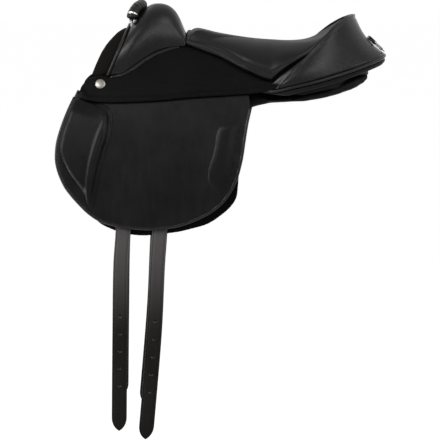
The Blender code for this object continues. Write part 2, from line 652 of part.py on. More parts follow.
def skirt_sheet(name, side):
    rest = SKIRT_COLUMNS - TONGUE_COLUMNS
    upper = along(SKIRT_TONGUE, TONGUE_COLUMNS + 1)[:-1] + along(SKIRT_SEAT_EDGE, rest + 1)
    lower = along(SKIRT_LOWER, SKIRT_COLUMNS + 1)
    outer, inner = [], []
    for k in range(SKIRT_ROWS + 1):
        line = [(p.lerp(q, k / SKIRT_ROWS)) for p, q in zip(upper, lower)]
        outer.append([on_barrel(p[0], p[1], 0.0, side) for p in line])
        inner.append([on_barrel(p[0], p[1], SKIRT_LEATHER, side) for p in line])
    return sheet_solid(name, outer, inner, BLACK_LEATHER)


def band_cutter(name, side, grow):
    """Prism round the skirt's lower band, which lifts about the bend line."""
    front, low = 2 * SKIRT_LOWER[0][0], BARREL_RADIUS / 4
    corners = box_outline(front, SKIRT_SPLIT + grow, -grow, low)
    spots = [from_line(run, down) for run, down in corners]
    shape = bmesh.new()
    widths = (HINGE_HALF_WIDTH / 2, 2 * HINGE_HALF_WIDTH)
    rows = [[shape.verts.new((x, side * y, z)) for x, z in spots] for y in widths]
    join_rows(shape, rows, True)
    shape.faces.new(rows[0])
    shape.faces.new(rows[1])
    cutter = mesh_object(name, shape, None, CUTTERS)
    hide_cutter(cutter)
    return cutter


def build_skirt(name, side):
    root = skirt_sheet("skirt_root_" + name, side)
    band = skirt_sheet("skirt_" + name, side)
    apply_boolean(root, band_cutter("skirt_cut_" + name, side, 0.0), "DIFFERENCE")
    apply_boolean(band, band_cutter("skirt_keep_" + name, side, -GAP), "INTERSECT")
    return root, band


# Girth billets and their webs

def billet_rows(line, side):
    """Cross rows of a billet from its round head to its pointed tip."""
    half = BILLET_WIDTH / 2
    pivot_z = billet_pivot(line)[1]
    tip_z = line[-1][0]
    rows = []
    for k in range(BILLET_HEAD_ROWS + 1):
        angle = 0.5 * math.pi * (1.0 - k / BILLET_HEAD_ROWS)
        rows.append((pivot_z + half * math.sin(angle), max(half * math.cos(angle), BILLET_CROWN)))
    body_end = tip_z + BILLET_TIP
    for k in range(1, BILLET_ROWS + 1):
        rows.append((pivot_z + (body_end - pivot_z) * (k / BILLET_ROWS) ** BILLET_ROW_POWER, half))
    for along_tip, across in BILLET_TAPER:
        rows.append((tip_z + BILLET_TIP * along_tip, half * across))
    rows.append((tip_z, BILLET_POINT))
    table = tuple((-z, x) for z, x in line)
    outer, inner = [], []
    for z, reach in rows:
        x = height_at(table, -z)
        outer.append([on_barrel(x + reach * k, z, BILLET_DEPTH, side) for k in (-1, 0, 1)])
        inner.append([on_barrel(x + reach * k, z, BILLET_DEPTH + BILLET_LEATHER, side) for k in (-1, 0, 1)])
    return outer, inner


def billet_pivot(line):
    x = line[0][1]
    return x, from_line(x, BILLET_PIVOT_DOWN)[1]


def build_billet(name, side, plan):
    outer, inner = billet_rows(plan["line"], side)
    strap = sheet_solid(name, outer, inner, BLACK_LEATHER)
    table = tuple((-z, x) for z, x in plan["line"])
    for k in range(BILLET_HOLES):
        z = plan["first_hole"] - plan["pitch"] * k
        x = height_at(table, -z)
        bpy.ops.mesh.primitive_cylinder_add(vertices=HOLE_FACETS, radius=BILLET_HOLE / 2, depth=PUNCH_LENGTH,
                                            location=(x, side * barrel_y(x, z, BILLET_DEPTH), z),
                                            rotation=(0.5 * math.pi, 0.0, 0.0))
        punch = bpy.context.object
        punch.name = name + "_punch_" + str(k + 1)
        for group in list(punch.users_collection):
            group.objects.unlink(punch)
        bpy.data.collections[CUTTERS].objects.link(punch)
        hide_cutter(punch)
        bpy.context.view_layer.update()
        apply_boolean(strap, punch, "DIFFERENCE")
    x, z = billet_pivot(plan["line"])
    set_origin(strap, (x, side * barrel_y(x, z, BILLET_DEPTH), z))
    return strap


# Tree

def foot_limit(x):
    """Half width of the foot line at x."""
    table = tuple((x, y) for x, y, z in widened(FOOT_LINE))
    return height_at(table, x)


def tree_point(row, angle):
    foot_x, foot_z, crown_x, crown_z, power = row
    half = barrel_y(foot_x, foot_z, TREE_DEPTH)
    if foot_x > FOOT_LINE[0][0]:
        half = min(half, foot_limit(foot_x) - TREE_INSET)
    rise = math.cos(angle) ** (2.0 / power)
    x = foot_x + (crown_x - foot_x) * rise
    z = foot_z + (crown_z - foot_z) * rise
    y = min(half * abs(math.sin(angle)) ** (2.0 / power), barrel_y(x, z, TREE_DEPTH))
    return Vector((x, math.copysign(y, math.sin(angle)), z))


def tree_row_at(x):
    """Row of the tree whose foot is at x."""
    for low, high in zip(TREE_ROWS, TREE_ROWS[1:]):
        if low[0] <= x <= high[0]:
            t = (x - low[0]) / (high[0] - low[0])
            return [a + (b - a) * t for a, b in zip(low, high)]
    return TREE_ROWS[0]


def tree_height(x, y):
    """Top of the tree under the seat."""
    if x > TREE_ROWS[-1][0]:
        return TREE_ROWS[-1][3]
    row = tree_row_at(x)
    half = tree_point(row, 0.5 * math.pi).y
    part = min(1.0, abs(y) / half) ** row[4]
    return row[1] + (row[3] - row[1]) * (1.0 - part) ** (1.0 / row[4])


def arch_angles(count):
    return [math.pi * (k / count - 0.5) for k in range(count + 1)]


def build_tree():
    rows = [[tree_point(row, a) for a in arch_angles(TREE_FACETS)] for row in TREE_ROWS]
    normals = grid_normals(rows, False, lambda p: Vector((0.0, p.y, TREE_OUT)))
    tree = sheet_solid("tree", rows, moved(rows, normals, -TREE_WALL), TREE_PLASTIC)
    window = TREE_WINDOW
    reach = window["half_width"]
    bpy.ops.mesh.primitive_cube_add(size=1.0)
    cutter = bpy.context.object
    cutter.name = "tree_window"
    size = (window["rear"] - window["front"], 2 * reach, window["high"] - window["low"])
    centre = ((window["rear"] + window["front"]) / 2, 0.0, (window["high"] + window["low"]) / 2)
    cutter.data.transform(Matrix.Diagonal((*size, 1.0)))
    cutter.data.transform(Matrix.Translation(centre))
    shape = bmesh.new()
    shape.from_mesh(cutter.data)
    upright = [e for e in shape.edges if abs(e.verts[0].co.z - e.verts[1].co.z) > size[2] / 2]
    bmesh.ops.bevel(shape, geom=upright, offset=window["corner"], segments=window["facets"], profile=0.5,
                    affect="EDGES")
    shape.to_mesh(cutter.data)
    shape.free()
    for group in list(cutter.users_collection):
        group.objects.unlink(cutter)
    bpy.data.collections[CUTTERS].objects.link(cutter)
    hide_cutter(cutter)
    apply_boolean(tree, cutter, "DIFFERENCE")
    return tree


# Seat

def seat_edge():
    """Closed edge of the seat, starting at the front centre."""
    front, side, rear = [along(widened(table), count) for table, count in
                         zip((SEAT_FRONT_EDGE, SEAT_SIDE_EDGE, SEAT_REAR_EDGE), SEAT_POINTS)]
    half = front[:-1] + side[:-1] + rear
    near = [Vector((p.x, -p.y, p.z)) for p in half]
    far = [p.copy() for p in reversed(half[1:-1])]
    return near + far


def seat_height(spot, edge_point, share):
    crest = height_at(SEAT_CREST, spot.x)
    front = min(1.0, max(0.0, (SEAT_FRONT_END - edge_point.x) / SEAT_FRONT_LENGTH))
    power = SEAT_ROUND_POWER + (SEAT_FRONT_POWER - SEAT_ROUND_POWER) * front
    round_share = 1.0 - math.sqrt(max(0.0, 1.0 - share ** power))
    dish_share = share ** SEAT_DISH_POWER
    rear = min(1.0, max(0.0, (edge_point.x - SEAT_DISH_START) / SEAT_DISH_LENGTH))
    drop = round_share * (1.0 - rear) + dish_share * rear
    return crest + (edge_point.z - crest) * drop


def seat_rows():
    edge = seat_edge()
    centre = Vector((SEAT_CENTRE, 0.0, 0.0))
    rows = []
    for share in SEAT_RINGS:
        row = []
        for p in edge:
            spot = centre + (Vector((p.x, p.y, 0.0)) - centre) * share
            roll = max(0.0, 1.0 - abs(share - SEAT_ROLL_SHARE) / SEAT_ROLL_REACH)
            channel = max(0.0, 1.0 - abs(share - SEAT_CHANNEL_SHARE) / SEAT_CHANNEL_REACH)
            spot.z = seat_height(spot, p, share) + SEAT_ROLL * roll - SEAT_CHANNEL * channel
            row.append(spot)
        rows.append(row)
    crown = Vector((SEAT_CENTRE, 0.0, height_at(SEAT_CREST, SEAT_CENTRE)))
    return rows, crown


def up(spot):
    return Vector((0.0, 0.0, 1.0))


def build_seat_cover():
    rows, crown = seat_rows()
    inner = moved(rows, grid_normals(rows, True, up), -SEAT_LEATHER)
    low = crown - Vector((0.0, 0.0, SEAT_LEATHER))
    return disc_solid("seat_cover", (rows, crown), (inner, low), BLACK_LEATHER)


def build_seat_foam():
    """Foam between the cover and the tree, thinning to the seat's edge."""
    rows, crown = seat_rows()
    drop = SEAT_LEATHER + 2 * GAP
    top = moved(rows, grid_normals(rows, True, up), -drop)
    rest = WEB_THICKNESS + FOAM_REST
    outer, inner = [], []
    for row, share in zip(top, SEAT_RINGS):
        if share in FOAM_RINGS:
            line = []
            for p in row:
                blend = max(0.0, (share - FOAM_TAPER) / (1.0 - FOAM_TAPER))
                z = (tree_height(p.x, p.y) + rest) * (1.0 - blend) + (p.z - FOAM_EDGE) * blend
                line.append(Vector((p.x, p.y, min(z, p.z - FOAM_EDGE))))
            outer.append(row)
            inner.append(line)
    low_centre = Vector((crown.x, 0.0, tree_height(crown.x, 0.0) + rest))
    return disc_solid("seat_foam", (outer, crown - Vector((0.0, 0.0, drop))), (inner, low_centre), FOAM)


# Cantle

def cantle_rows():
    """Facing from the foot line over the rim seam to the seat's edge."""
    half_foot, half_seam, half_seat = [along(widened(table), CANTLE_COLUMNS)
                                       for table in (FOOT_LINE, RIM_SEAM, SEAT_REAR_EDGE)]
    foot = mirror_line(half_foot)
    seam = mirror_line(half_seam)
    inner = mirror_line([p.lerp(q, RIM_TURN) for p, q in zip(half_seam, half_seat)])
    rows = []
    for share in FACING_ROWS:
        row = []
        for p, q in zip(foot, seam):
            side_share = min(1.0, abs(p.y) / half_foot[1].y)
            fullness = CANTLE_HOLLOW + (CANTLE_FULLNESS - CANTLE_HOLLOW) * side_share
            away = Vector((p.x - q.x, p.y - q.y * FACING_TURN, FACING_UP)).normalized()
            row.append(p.lerp(q, share) + away * fullness * math.sin(math.pi * share))
        rows.append(row)
    rows.append([p.lerp(q, 0.5) + Vector((0.0, 0.0, RIM_CROWN)) for p, q in zip(seam, inner)])
    rows.append(inner)
    return rows


def build_cantle_cover():
    rows = cantle_rows()
    normals = grid_normals(rows, False, lambda p: Vector((p.x - CANTLE_MIDDLE, p.y, CANTLE_OUT)))
    inner = moved(rows, normals, -CANTLE_LEATHER)
    inner[0] = [Vector((p.x, p.y, max(p.z, q.z))) for p, q in zip(inner[0], rows[0])]
    return sheet_solid("cantle_cover", rows, inner, BLACK_LEATHER)


def foot_path(count, out=0.0, lift=0.0):
    half = along(widened((FOOT_LINE_START, *FOOT_LINE)), count)
    path = mirror_line(half)
    result = []
    last = len(path) - 1
    for i, p in enumerate(path):
        step = path[min(i + 1, last)] - path[max(i - 1, 0)]
        away = Vector((-step.y, step.x, 0.0)).normalized()
        if away.dot(Vector((p.x - CANTLE_MIDDLE, p.y, 0.0))) < 0.0:
            away = -away
        result.append(p + away * out + Vector((0.0, 0.0, lift)))
    return result


def build_rear_piping():
    drop = PIPING_RADIUS + GAP
    return tube_object("rear_piping", foot_path(FOOT_POINTS, 0.0, -drop), PIPING_RADIUS,
                       BLACK_LEATHER)


def build_rear_band():
    """Band under the piping, a rounded strip that follows the foot line."""
    top = -(2 * PIPING_RADIUS + 2 * GAP)
    low = top - BAND_HEIGHT
    step = BAND_HEIGHT / 4
    profile = ((BAND_PROUD, top - step), (BAND_PROUD, low + step), (BAND_BACK, low),
               (-BAND_WIDTH, low), (-BAND_WIDTH, top), (BAND_BACK, top))
    paths = [foot_path(FOOT_POINTS, out, lift) for out, lift in profile]
    loops = [[path[i] for path in paths] for i in range(len(paths[0]))]
    return loft_solid("rear_band", loops, DULL_LEATHER)


# Pommel

def pommel_rows():
    lower = along(POMMEL_LOWER, POMMEL_ROWS)
    crown = along(POMMEL_CROWN, POMMEL_ROWS)
    rows = []
    power = 2.0 / POMMEL_FULLNESS
    for i, (low, top) in enumerate(zip(lower, crown)):
        half = barrel_y(low[0], low[1], -POMMEL_PROUD)
        valley = VALLEY_DEPTH * math.sin(math.pi * (i / (POMMEL_ROWS - 1)) ** VALLEY_PLACE)
        row = []
        for angle in arch_angles(POMMEL_FACETS):
            rise = math.cos(angle) ** power
            y = half * math.copysign(abs(math.sin(angle)) ** power, math.sin(angle))
            z = low[1] + (top[1] - low[1]) * rise
            z += (VALLEY_SHOULDER - math.exp(-(y / VALLEY_WIDTH) ** 2)) * valley * rise
            row.append(Vector((low[0] + (top[0] - low[0]) * rise, y, z)))
        rows.append(row)
    return rows


def build_pommel_cover():
    rows = pommel_rows()
    x, z = POMMEL_MIDDLE
    normals = grid_normals(rows, False, lambda p: Vector((p.x - x, p.y, p.z - z)))
    return sheet_solid("pommel_cover", rows, moved(rows, normals, -POMMEL_LEATHER), BLACK_LEATHER)


def build_pommel_piping():
    rows = pommel_rows()
    ahead = Vector((-(PIPING_RADIUS + 2 * GAP), 0.0, -POMMEL_PIPING_DROP))
    points = [p + ahead for p in rows[0]]
    return tube_object("pommel_piping", points, PIPING_RADIUS, BLACK_LEATHER)


def build_front_lining():
    """Padded crescent from under the pommel's front edge to the mouth of the front arch."""
    rows = pommel_rows()
    edge = rows[0]
    inward = grid_normals(rows, False, lambda p: Vector((0.0, p.y, p.z - POMMEL_MIDDLE[1])))[0]
    front = mirror_line(along(widened(LINING_FRONT), (len(edge) + 1) // 2))
    back = [p - n * LINING_TUCK for p, n in zip(edge, inward)]
    loops = []
    last = len(front) - 1
    for i, (p, q) in enumerate(zip(front, back)):
        middle = (p + q) / 2
        reach = (p - q) / 2
        step = front[min(i + 1, last)] - front[max(i - 1, 0)]
        normal = reach.cross(step).normalized() * LINING_THICKNESS / 2
        loop = []
        for k in range(LINING_FACETS):
            angle = 2.0 * math.pi * k / LINING_FACETS
            loop.append(middle + reach * math.cos(angle) + normal * math.sin(angle))
        loops.append(loop)
    return loft_solid("front_lining", loops, LINING_CLOTH)


# Panels

def panel_loop(row, side):
    x, inner_low, inner_top, outer_low, outer_top = row
    limit = foot_limit(max(x, FOOT_LINE[0][0])) - height_at(PANEL_INSET, x)
    low_y = min(barrel_y(x, outer_low, PANEL_SKIRT_DEPTH), limit)
    top_y = min(barrel_y(x, outer_top, PANEL_DEPTH), limit)
    a = Vector(inner_low)
    b = Vector((low_y, outer_low))
    c = Vector((top_y, outer_top))
    d = Vector(inner_top)
    loop = []
    power = 2.0 / PANEL_EXPONENT
    for k in range(PANEL_FACETS):
        angle = 2.0 * math.pi * (k + 0.5) / PANEL_FACETS
        run = math.copysign(abs(math.cos(angle)) ** power, math.cos(angle))
        rise = math.copysign(abs(math.sin(angle)) ** power, math.sin(angle))
        s, t = (run + 1) / 2, (rise + 1) / 2
        spot = a * (1 - s) * (1 - t) + b * s * (1 - t) + c * s * t + d * (1 - s) * t
        loop.append(Vector((x, side * spot[0], spot[1])))
    return loop


def flat_row(row):
    x, a, d, low, top = row
    return (x, *a, *d, low, top)


def build_panel(name, side):
    rows = [flat_row(row) for row in PANEL_ROWS]
    columns = [tuple((row[0], row[k]) for row in rows) for k in range(1, len(rows[0]))]
    places = []
    for low, high in zip(rows, rows[1:]):
        steps = 2 if high[0] - low[0] > PANEL_STEP else 1
        places += [low[0] + (high[0] - low[0]) * k / steps for k in range(steps)]
    places.append(rows[-1][0])
    loops = []
    for x in places:
        v = [height_at(column, x) for column in columns]
        low, top = (v[0] * HINGE_HALF_WIDTH, v[1]), (v[2] * HINGE_HALF_WIDTH, v[3])
        loops.append(panel_loop((x, low, top, v[4], v[5]), side))
    return loft_solid("panel_" + name, loops, DULL_LEATHER)


# Webs and plate on the tree

def ribbon_rows(span, angles):
    """Rows on the tree's outer face between two places along it."""
    feet = sorted({*span, *(row[0] for row in TREE_ROWS if span[0] < row[0] < span[1])})
    return [[tree_point(tree_row_at(x), angle) for angle in angles] for x in feet]


def build_web(name, span, angles):
    rows = ribbon_rows(span, angles)
    normals = grid_normals(rows, False, lambda p: Vector((0.0, p.y, TREE_OUT)))
    outer = moved(rows, normals, WEB_LIFT + WEB_THICKNESS)
    return sheet_solid(name, outer, moved(rows, normals, WEB_LIFT), WEBBING)


def build_webs():
    half = BILLET_WIDTH / 2
    rear = REAR_BILLET["line"][0][1]
    angles = arch_angles(TREE_FACETS)
    build_web("girth_web_rear", (rear - half, rear + half), angles)
    front = FRONT_BILLET["line"][0][1]
    span = (front - half * POINT_WEB_SHARE, front + half)
    share = TREE_FACETS // 4
    build_web("point_web_near", span, angles[:share])
    build_web("point_web_far", span, angles[-share:])


def build_head_plate():
    rows, outer, inner = ribbon_rows(HEAD_PLATE_SPAN, arch_angles(TREE_FACETS)[2:-2]), [], []
    for row in rows:
        ways = [(Vector((p.x, 0.0, HEAD_PLATE_MIDDLE)) - p).normalized() for p in row]
        outer.append([p + way * HEAD_PLATE_LIFT for p, way in zip(row, ways)])
        inner.append([p + way * (HEAD_PLATE_LIFT + HEAD_PLATE_THICKNESS) for p, way in zip(row, ways)])
    return sheet_solid("head_plate", outer, inner, DARK_STEEL)


# Blocks, turned heads and rings in a frame of their own

def axes_frame(place, first, second, third):
    frame = Matrix((first, second, third)).transposed().to_4x4()
    frame.translation = place
    return frame


def barrel_frame(run, down, depth, side):
    """Frame on the barrel: along the bend line, outwards, and down the side."""
    angle = HINGE_SLOPE - down / BARREL_RADIUS
    radius = BARREL_RADIUS - depth
    y = HINGE_HALF_WIDTH - BARREL_RADIUS * math.cos(HINGE_SLOPE) + radius * math.cos(angle)
    x, z = from_line(run, BARREL_RADIUS * math.sin(HINGE_SLOPE) - radius * math.sin(angle))
    lean, rise = math.sin(HINGE_RISE), math.cos(HINGE_RISE)
    run_axis = Vector((rise, 0.0, lean))
    out_axis = Vector((-math.sin(angle) * lean, side * math.cos(angle), math.sin(angle) * rise))
    down_axis = Vector((math.cos(angle) * lean, side * math.sin(angle), -math.cos(angle) * rise))
    return axes_frame(Vector((x, side * y, z)), run_axis, out_axis, down_axis)


def prism(name, outline, low, high, frame, finish, group=PIECES):
    """Straight-sided block on a flat outline in the frame's first two axes."""
    shape = bmesh.new()
    rows = [[shape.verts.new((x, y, level)) for x, y in outline] for level in (low, high)]
    join_rows(shape, rows, True)
    shape.faces.new(rows[0])
    shape.faces.new(rows[1])
    shape.transform(frame)
    return mesh_object(name, shape, finish, group)


def box_outline(left, right, low, high):
    return ((left, low), (right, low), (right, high), (left, high))


def arc(centre, radius, start, stop, count):
    angles = [math.radians(start + (stop - start) * k / count) for k in range(count + 1)]
    return [(centre[0] + radius * math.cos(a), centre[1] + radius * math.sin(a)) for a in angles]


def join_block(item, outline, low, high, frame):
    tool = prism(item.name + "_joined", outline, low, high, frame, None, CUTTERS)
    hide_cutter(tool)
    apply_boolean(item, tool, "UNION")


def drill(item, place, axis, radius):
    bore = bpy.data.meshes.new(item.name + "_bore")
    shape = bmesh.new()
    bmesh.ops.create_cone(shape, cap_ends=True, segments=BORE_FACETS, radius1=radius, radius2=radius,
                          depth=BORE_LENGTH)
    turn = Vector(axis).to_track_quat("Z", "Y").to_matrix().to_4x4()
    shape.transform(Matrix.Translation(place) @ turn)
    shape.to_mesh(bore)
    shape.free()
    tool = place_object(item.name + "_bore", bore, None, CUTTERS)
    hide_cutter(tool)
    apply_boolean(item, tool, "DIFFERENCE")


def dome_shape(radius, height, rim, steps):
    """Turned head with a short upright rim and a round top."""
    shape = bmesh.new()
    profile = [(0.0, 0.0), (radius, 0.0), (radius, rim)]
    for k in range(1, DOME_ROWS + 1):
        angle = 0.5 * math.pi * k / DOME_ROWS
        profile.append((radius * math.cos(angle), rim + (height - rim) * math.sin(angle)))
    line = [shape.verts.new((r, 0.0, h)) for r, h in profile]
    for p, q in zip(line, line[1:]):
        shape.edges.new((p, q))
    bmesh.ops.spin(shape, geom=shape.verts[:] + shape.edges[:], cent=(0, 0, 0), axis=(0, 0, 1),
                   angle=2.0 * math.pi, steps=steps)
    return shape


def out_turn(frame):
    """Frame whose third axis is the given frame's second one."""
    first, second, third = [frame.col[k].to_3d() for k in range(3)]
    return axes_frame(frame.translation, third, first, second)


# Fittings

def build_nail(name, side):
    run, down = to_line(*NAIL_PLACE)
    frame = barrel_frame(run, down / math.cos(HINGE_SLOPE), -3 * GAP, side)
    shape = dome_shape(NAIL_RADIUS, NAIL_HEIGHT, NAIL_RIM, TURNED_FACETS)
    shape.transform(out_turn(frame))
    return mesh_object("skirt_nail_" + name, shape, STEEL)


def build_stirrup_bar(name, side):
    frame = barrel_frame(BAR_RUN, BAR_DOWN, TREE_DEPTH, side)
    plate = BAR_LIFT + BAR_PLATE
    low = plate + BAR_SLOT
    top = low + BAR_FINGER
    tip = (BAR_FINGER_LENGTH - BAR_FINGER / 2, low + BAR_FINGER / 2)
    shoulder = (BAR_HEEL_ROUND, top - BAR_HEEL_ROUND)
    heel = [(0.0, BAR_LIFT), (BAR_HEEL, BAR_LIFT), (BAR_HEEL, low)]
    outline = heel + arc(tip, BAR_FINGER / 2, -90, 90, 4) + arc(shoulder, BAR_HEEL_ROUND, 90, 180, 3)
    bar = prism("stirrup_bar_" + name, outline, -BAR_FINGER_HALF, BAR_FINGER_HALF, frame, STEEL)
    rear = CATCH_PLACE + EAR_HALF_LENGTH + BAR_FOOT
    join_block(bar, box_outline(-BAR_FOOT, rear, BAR_LIFT, plate), -BAR_PLATE_HALF, BAR_PLATE_HALF, frame)
    ear = CATCH_HALF + 2 * GAP
    pin_out = plate + CATCH_HUB + 2 * GAP
    place = box_outline(CATCH_PLACE - EAR_HALF_LENGTH, CATCH_PLACE + EAR_HALF_LENGTH, BAR_LIFT,
                        pin_out + 2 * PIN_RADIUS)
    join_block(bar, place, ear, ear + EAR_WALL, frame)
    join_block(bar, place, -ear - EAR_WALL, -ear, frame)
    pin_place = frame @ Vector((CATCH_PLACE, pin_out, 0.0))
    down = frame.col[2].to_3d()
    pin_half = CATCH_HALF + GAP
    pin = prism("catch_pin_" + name, arc((CATCH_PLACE, pin_out), PIN_RADIUS, 0, PIN_TURN, PIN_FACETS),
                -pin_half, pin_half, frame, STEEL)
    hub = arc((CATCH_PLACE, pin_out), CATCH_HUB, *CATCH_TURN, SMALL_FACETS)
    arm = [(CATCH_PLACE + CATCH_ARM, top), (CATCH_PLACE - CATCH_ARM, top)]
    catch = prism("bar_catch_" + name, hub + arm, -CATCH_HALF, CATCH_HALF, frame, DARK_STEEL)
    drill(catch, pin_place, down, PIN_RADIUS + PIN_CLEARANCE)
    set_origin(catch, pin_place)
    for end, run in (("front", -BAR_FOOT / 2), ("rear", rear - BAR_FOOT / 2)):
        head = dome_shape(BAR_RIVET_RADIUS, BAR_RIVET_HEIGHT, BAR_RIVET_HEIGHT / 4, SMALL_FACETS)
        head.transform(out_turn(frame) @ Matrix.Translation((0.0, run, plate + GAP)))
        mesh_object("bar_rivet_%s_%s" % (end, name), head, DARK_STEEL)
    return bar, pin, catch


def ring_points(corners, radius, count):
    """Closed round-cornered ring through flat corners given in order."""
    points = []
    total = len(corners)
    for i in range(total):
        before, spot, after = corners[i - 1], corners[i], corners[(i + 1) % total]
        first = spot + (before - spot).normalized() * radius
        second = spot + (after - spot).normalized() * radius
        for k in range(count + 1):
            t = k / count
            points.append(first * (1 - t) ** 2 + spot * 2 * t * (1 - t) + second * t ** 2)
    return points


def facing_point(share):
    """Point and outward direction on the rear centre of the cantle facing."""
    foot, seam = Vector(FOOT_LINE[-1]), Vector(RIM_SEAM[-1])
    away = Vector((foot.x - seam.x, 0.0, FACING_UP)).normalized()
    return foot.lerp(seam, share) + away * CANTLE_HOLLOW * math.sin(math.pi * share), away


def build_crupper_dee():
    place, away = facing_point(CRUPPER_SHARE)
    axis_place = place + away * CRUPPER_LIFT
    below, above = [facing_point(CRUPPER_SHARE + step)[0] for step in (-FACING_STEP, FACING_STEP)]
    tangent = (below - above).normalized()
    side = Vector((0.0, 1.0, 0.0))
    share = CRUPPER_SHARE - CRUPPER_LENGTH / (Vector(FOOT_LINE[-1]) - Vector(RIM_SEAM[-1])).length
    rest, rest_away = facing_point(share)
    slope = (rest + rest_away * (DEE_WIRE + DEE_REST) - axis_place).normalized()
    half = CRUPPER_HALF_WIDTH
    tip = slope * CRUPPER_LENGTH
    corners = (-side * half, side * half, tip + side * half, tip - side * half)
    dee = tube_object("crupper_dee", ring_points(corners, CRUPPER_CORNER, 2), DEE_WIRE, STEEL, cyclic=True)
    dee.location = axis_place
    frame = axes_frame(axis_place, tangent, side.cross(tangent), side)
    thick = CHAPE_THICKNESS / 2
    outline = box_outline(thick - CHAPE_LENGTH, thick, -thick, thick)
    chape = prism("crupper_chape", outline, -CHAPE_HALF_WIDTH, CHAPE_HALF_WIDTH, frame, BLACK_LEATHER)
    drill(chape, axis_place, side, DEE_WIRE + BORE_CLEARANCE)
    return dee, chape


def pommel_top(x, y):
    """Height of the pommel cover at a place near its front."""
    spots = [p for row in pommel_rows() for p in row]
    best = min(spots, key=lambda p: (p.x - x) ** 2 + (p.y - y) ** 2)
    ahead = min((p for p in spots if p.x < best.x - TOP_STEP),
                key=lambda p: (p.x - x) ** 2 + (p.y - y) ** 2)
    slope = (best.z - ahead.z) / (best.x - ahead.x)
    return best.z + slope * (x - best.x)


def build_staple(name, side):
    """Steel staple over the pommel's front edge that holds one end of the handle."""
    x, z = HANDLE_AXIS
    inner = side * (STAPLE_MIDDLE - STAPLE_HALF)
    outer = side * (STAPLE_MIDDLE + STAPLE_HALF)
    feet = [Vector((x, y, pommel_top(x, y) + STAPLE_FOOT_GAP)) for y in (inner, outer)]
    bend = STAPLE_WIRE
    toward = math.copysign(bend, outer - inner)
    points = [feet[0], Vector((x, inner, z - bend)), Vector((x, inner + toward, z)),
              Vector((x, outer - toward, z)), Vector((x, outer, z - bend)), feet[1]]
    return tube_object("handle_staple_" + name, points, STAPLE_WIRE, STEEL)


def build_handle():
    points = along(mirror_line(HANDLE_LINE), HANDLE_POINTS)
    grip = tube_object("handle_grip", points, HANDLE_RADIUS, BLACK_LEATHER, 2)
    for spot in (grip.data.splines[0].points[0], grip.data.splines[0].points[-1]):
        spot.radius = HANDLE_END_SHARE
    axis = Vector((HANDLE_AXIS[0], 0.0, HANDLE_AXIS[1]))
    set_origin(grip, axis)
    across = Vector((0.0, 1.0, 0.0))
    for name, side in SIDES:
        build_staple(name, side)
        place = axis + across * side * STAPLE_MIDDLE
        thick, wide = LOOP_HALF
        outline = arc((0.0, 0.0), thick, 180, 360, 6) + [(thick, LOOP_TOP), (-thick, LOOP_TOP)]
        frame = axes_frame(place, Vector((1.0, 0.0, 0.0)), Vector((0.0, 0.0, 1.0)), across)
        loop = prism("handle_loop_" + name, outline, -wide, wide, frame, BLACK_LEATHER)
        drill(loop, place, across, STAPLE_WIRE + BORE_CLEARANCE)
        set_origin(loop, axis)
    return grip


def hang_on_hinge(side, *pieces):
    """Give the pieces their origin on the bend line, in the skirt's outer face."""
    for piece in pieces:
        set_origin(piece, (0.0, side * HINGE_HALF_WIDTH, HINGE_HEIGHT))


def build_all():
    clear_scene()
    build_tree()
    build_head_plate()
    build_webs()
    build_seat_foam()
    build_seat_cover()
    build_cantle_cover()
    build_rear_piping()
    build_rear_band()
    build_crupper_dee()
    build_pommel_cover()
    build_pommel_piping()
    build_front_lining()
    build_handle()
    for name, side in SIDES:
        build_panel(name, side)
        build_stirrup_bar(name, side)
        root, band = build_skirt(name, side)
        build_nail(name, side)
        flap = build_flap(name, side)
        binding = build_flap_binding(name, side)
        knee = build_block("knee_block_" + name, KNEE_BLOCK, side, KNEE_BLOCK_HEIGHT)
        thigh = build_block("thigh_block_" + name, THIGH_BLOCK, side, THIGH_BLOCK_HEIGHT)
        hang_on_hinge(side, flap, binding, knee, thigh, band)
        build_sweat_flap(name, side)
        build_billet("billet_front_" + name, side, FRONT_BILLET)
        build_billet("billet_rear_" + name, side, REAR_BILLET)


build_all()
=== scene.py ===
import math

import bmesh
import bpy
from mathutils import Matrix, Vector
from mathutils.kdtree import KDTree


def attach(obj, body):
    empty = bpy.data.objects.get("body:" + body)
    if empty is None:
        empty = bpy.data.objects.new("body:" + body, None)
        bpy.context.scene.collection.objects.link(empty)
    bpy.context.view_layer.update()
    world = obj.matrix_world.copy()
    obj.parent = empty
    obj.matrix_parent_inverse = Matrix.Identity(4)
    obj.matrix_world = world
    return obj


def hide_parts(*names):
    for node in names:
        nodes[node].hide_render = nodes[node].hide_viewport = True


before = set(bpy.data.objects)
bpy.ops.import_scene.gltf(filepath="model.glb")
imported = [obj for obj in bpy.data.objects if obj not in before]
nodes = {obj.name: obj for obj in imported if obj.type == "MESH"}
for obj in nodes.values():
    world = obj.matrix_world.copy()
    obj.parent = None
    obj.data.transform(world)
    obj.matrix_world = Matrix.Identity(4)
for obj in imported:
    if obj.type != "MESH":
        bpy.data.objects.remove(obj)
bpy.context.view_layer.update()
sides = (("near", -1), ("far", 1))
print("frame loaded:", len(nodes), "nodes")

# the pony's side is a leaning cylinder, and every side leather follows it
barrel = {"radius": 0.457, "halfWidth": 0.085, "height": 0.041, "rise": math.radians(6.3),
          "slope": math.radians(27.0)}


# smooth lines and places

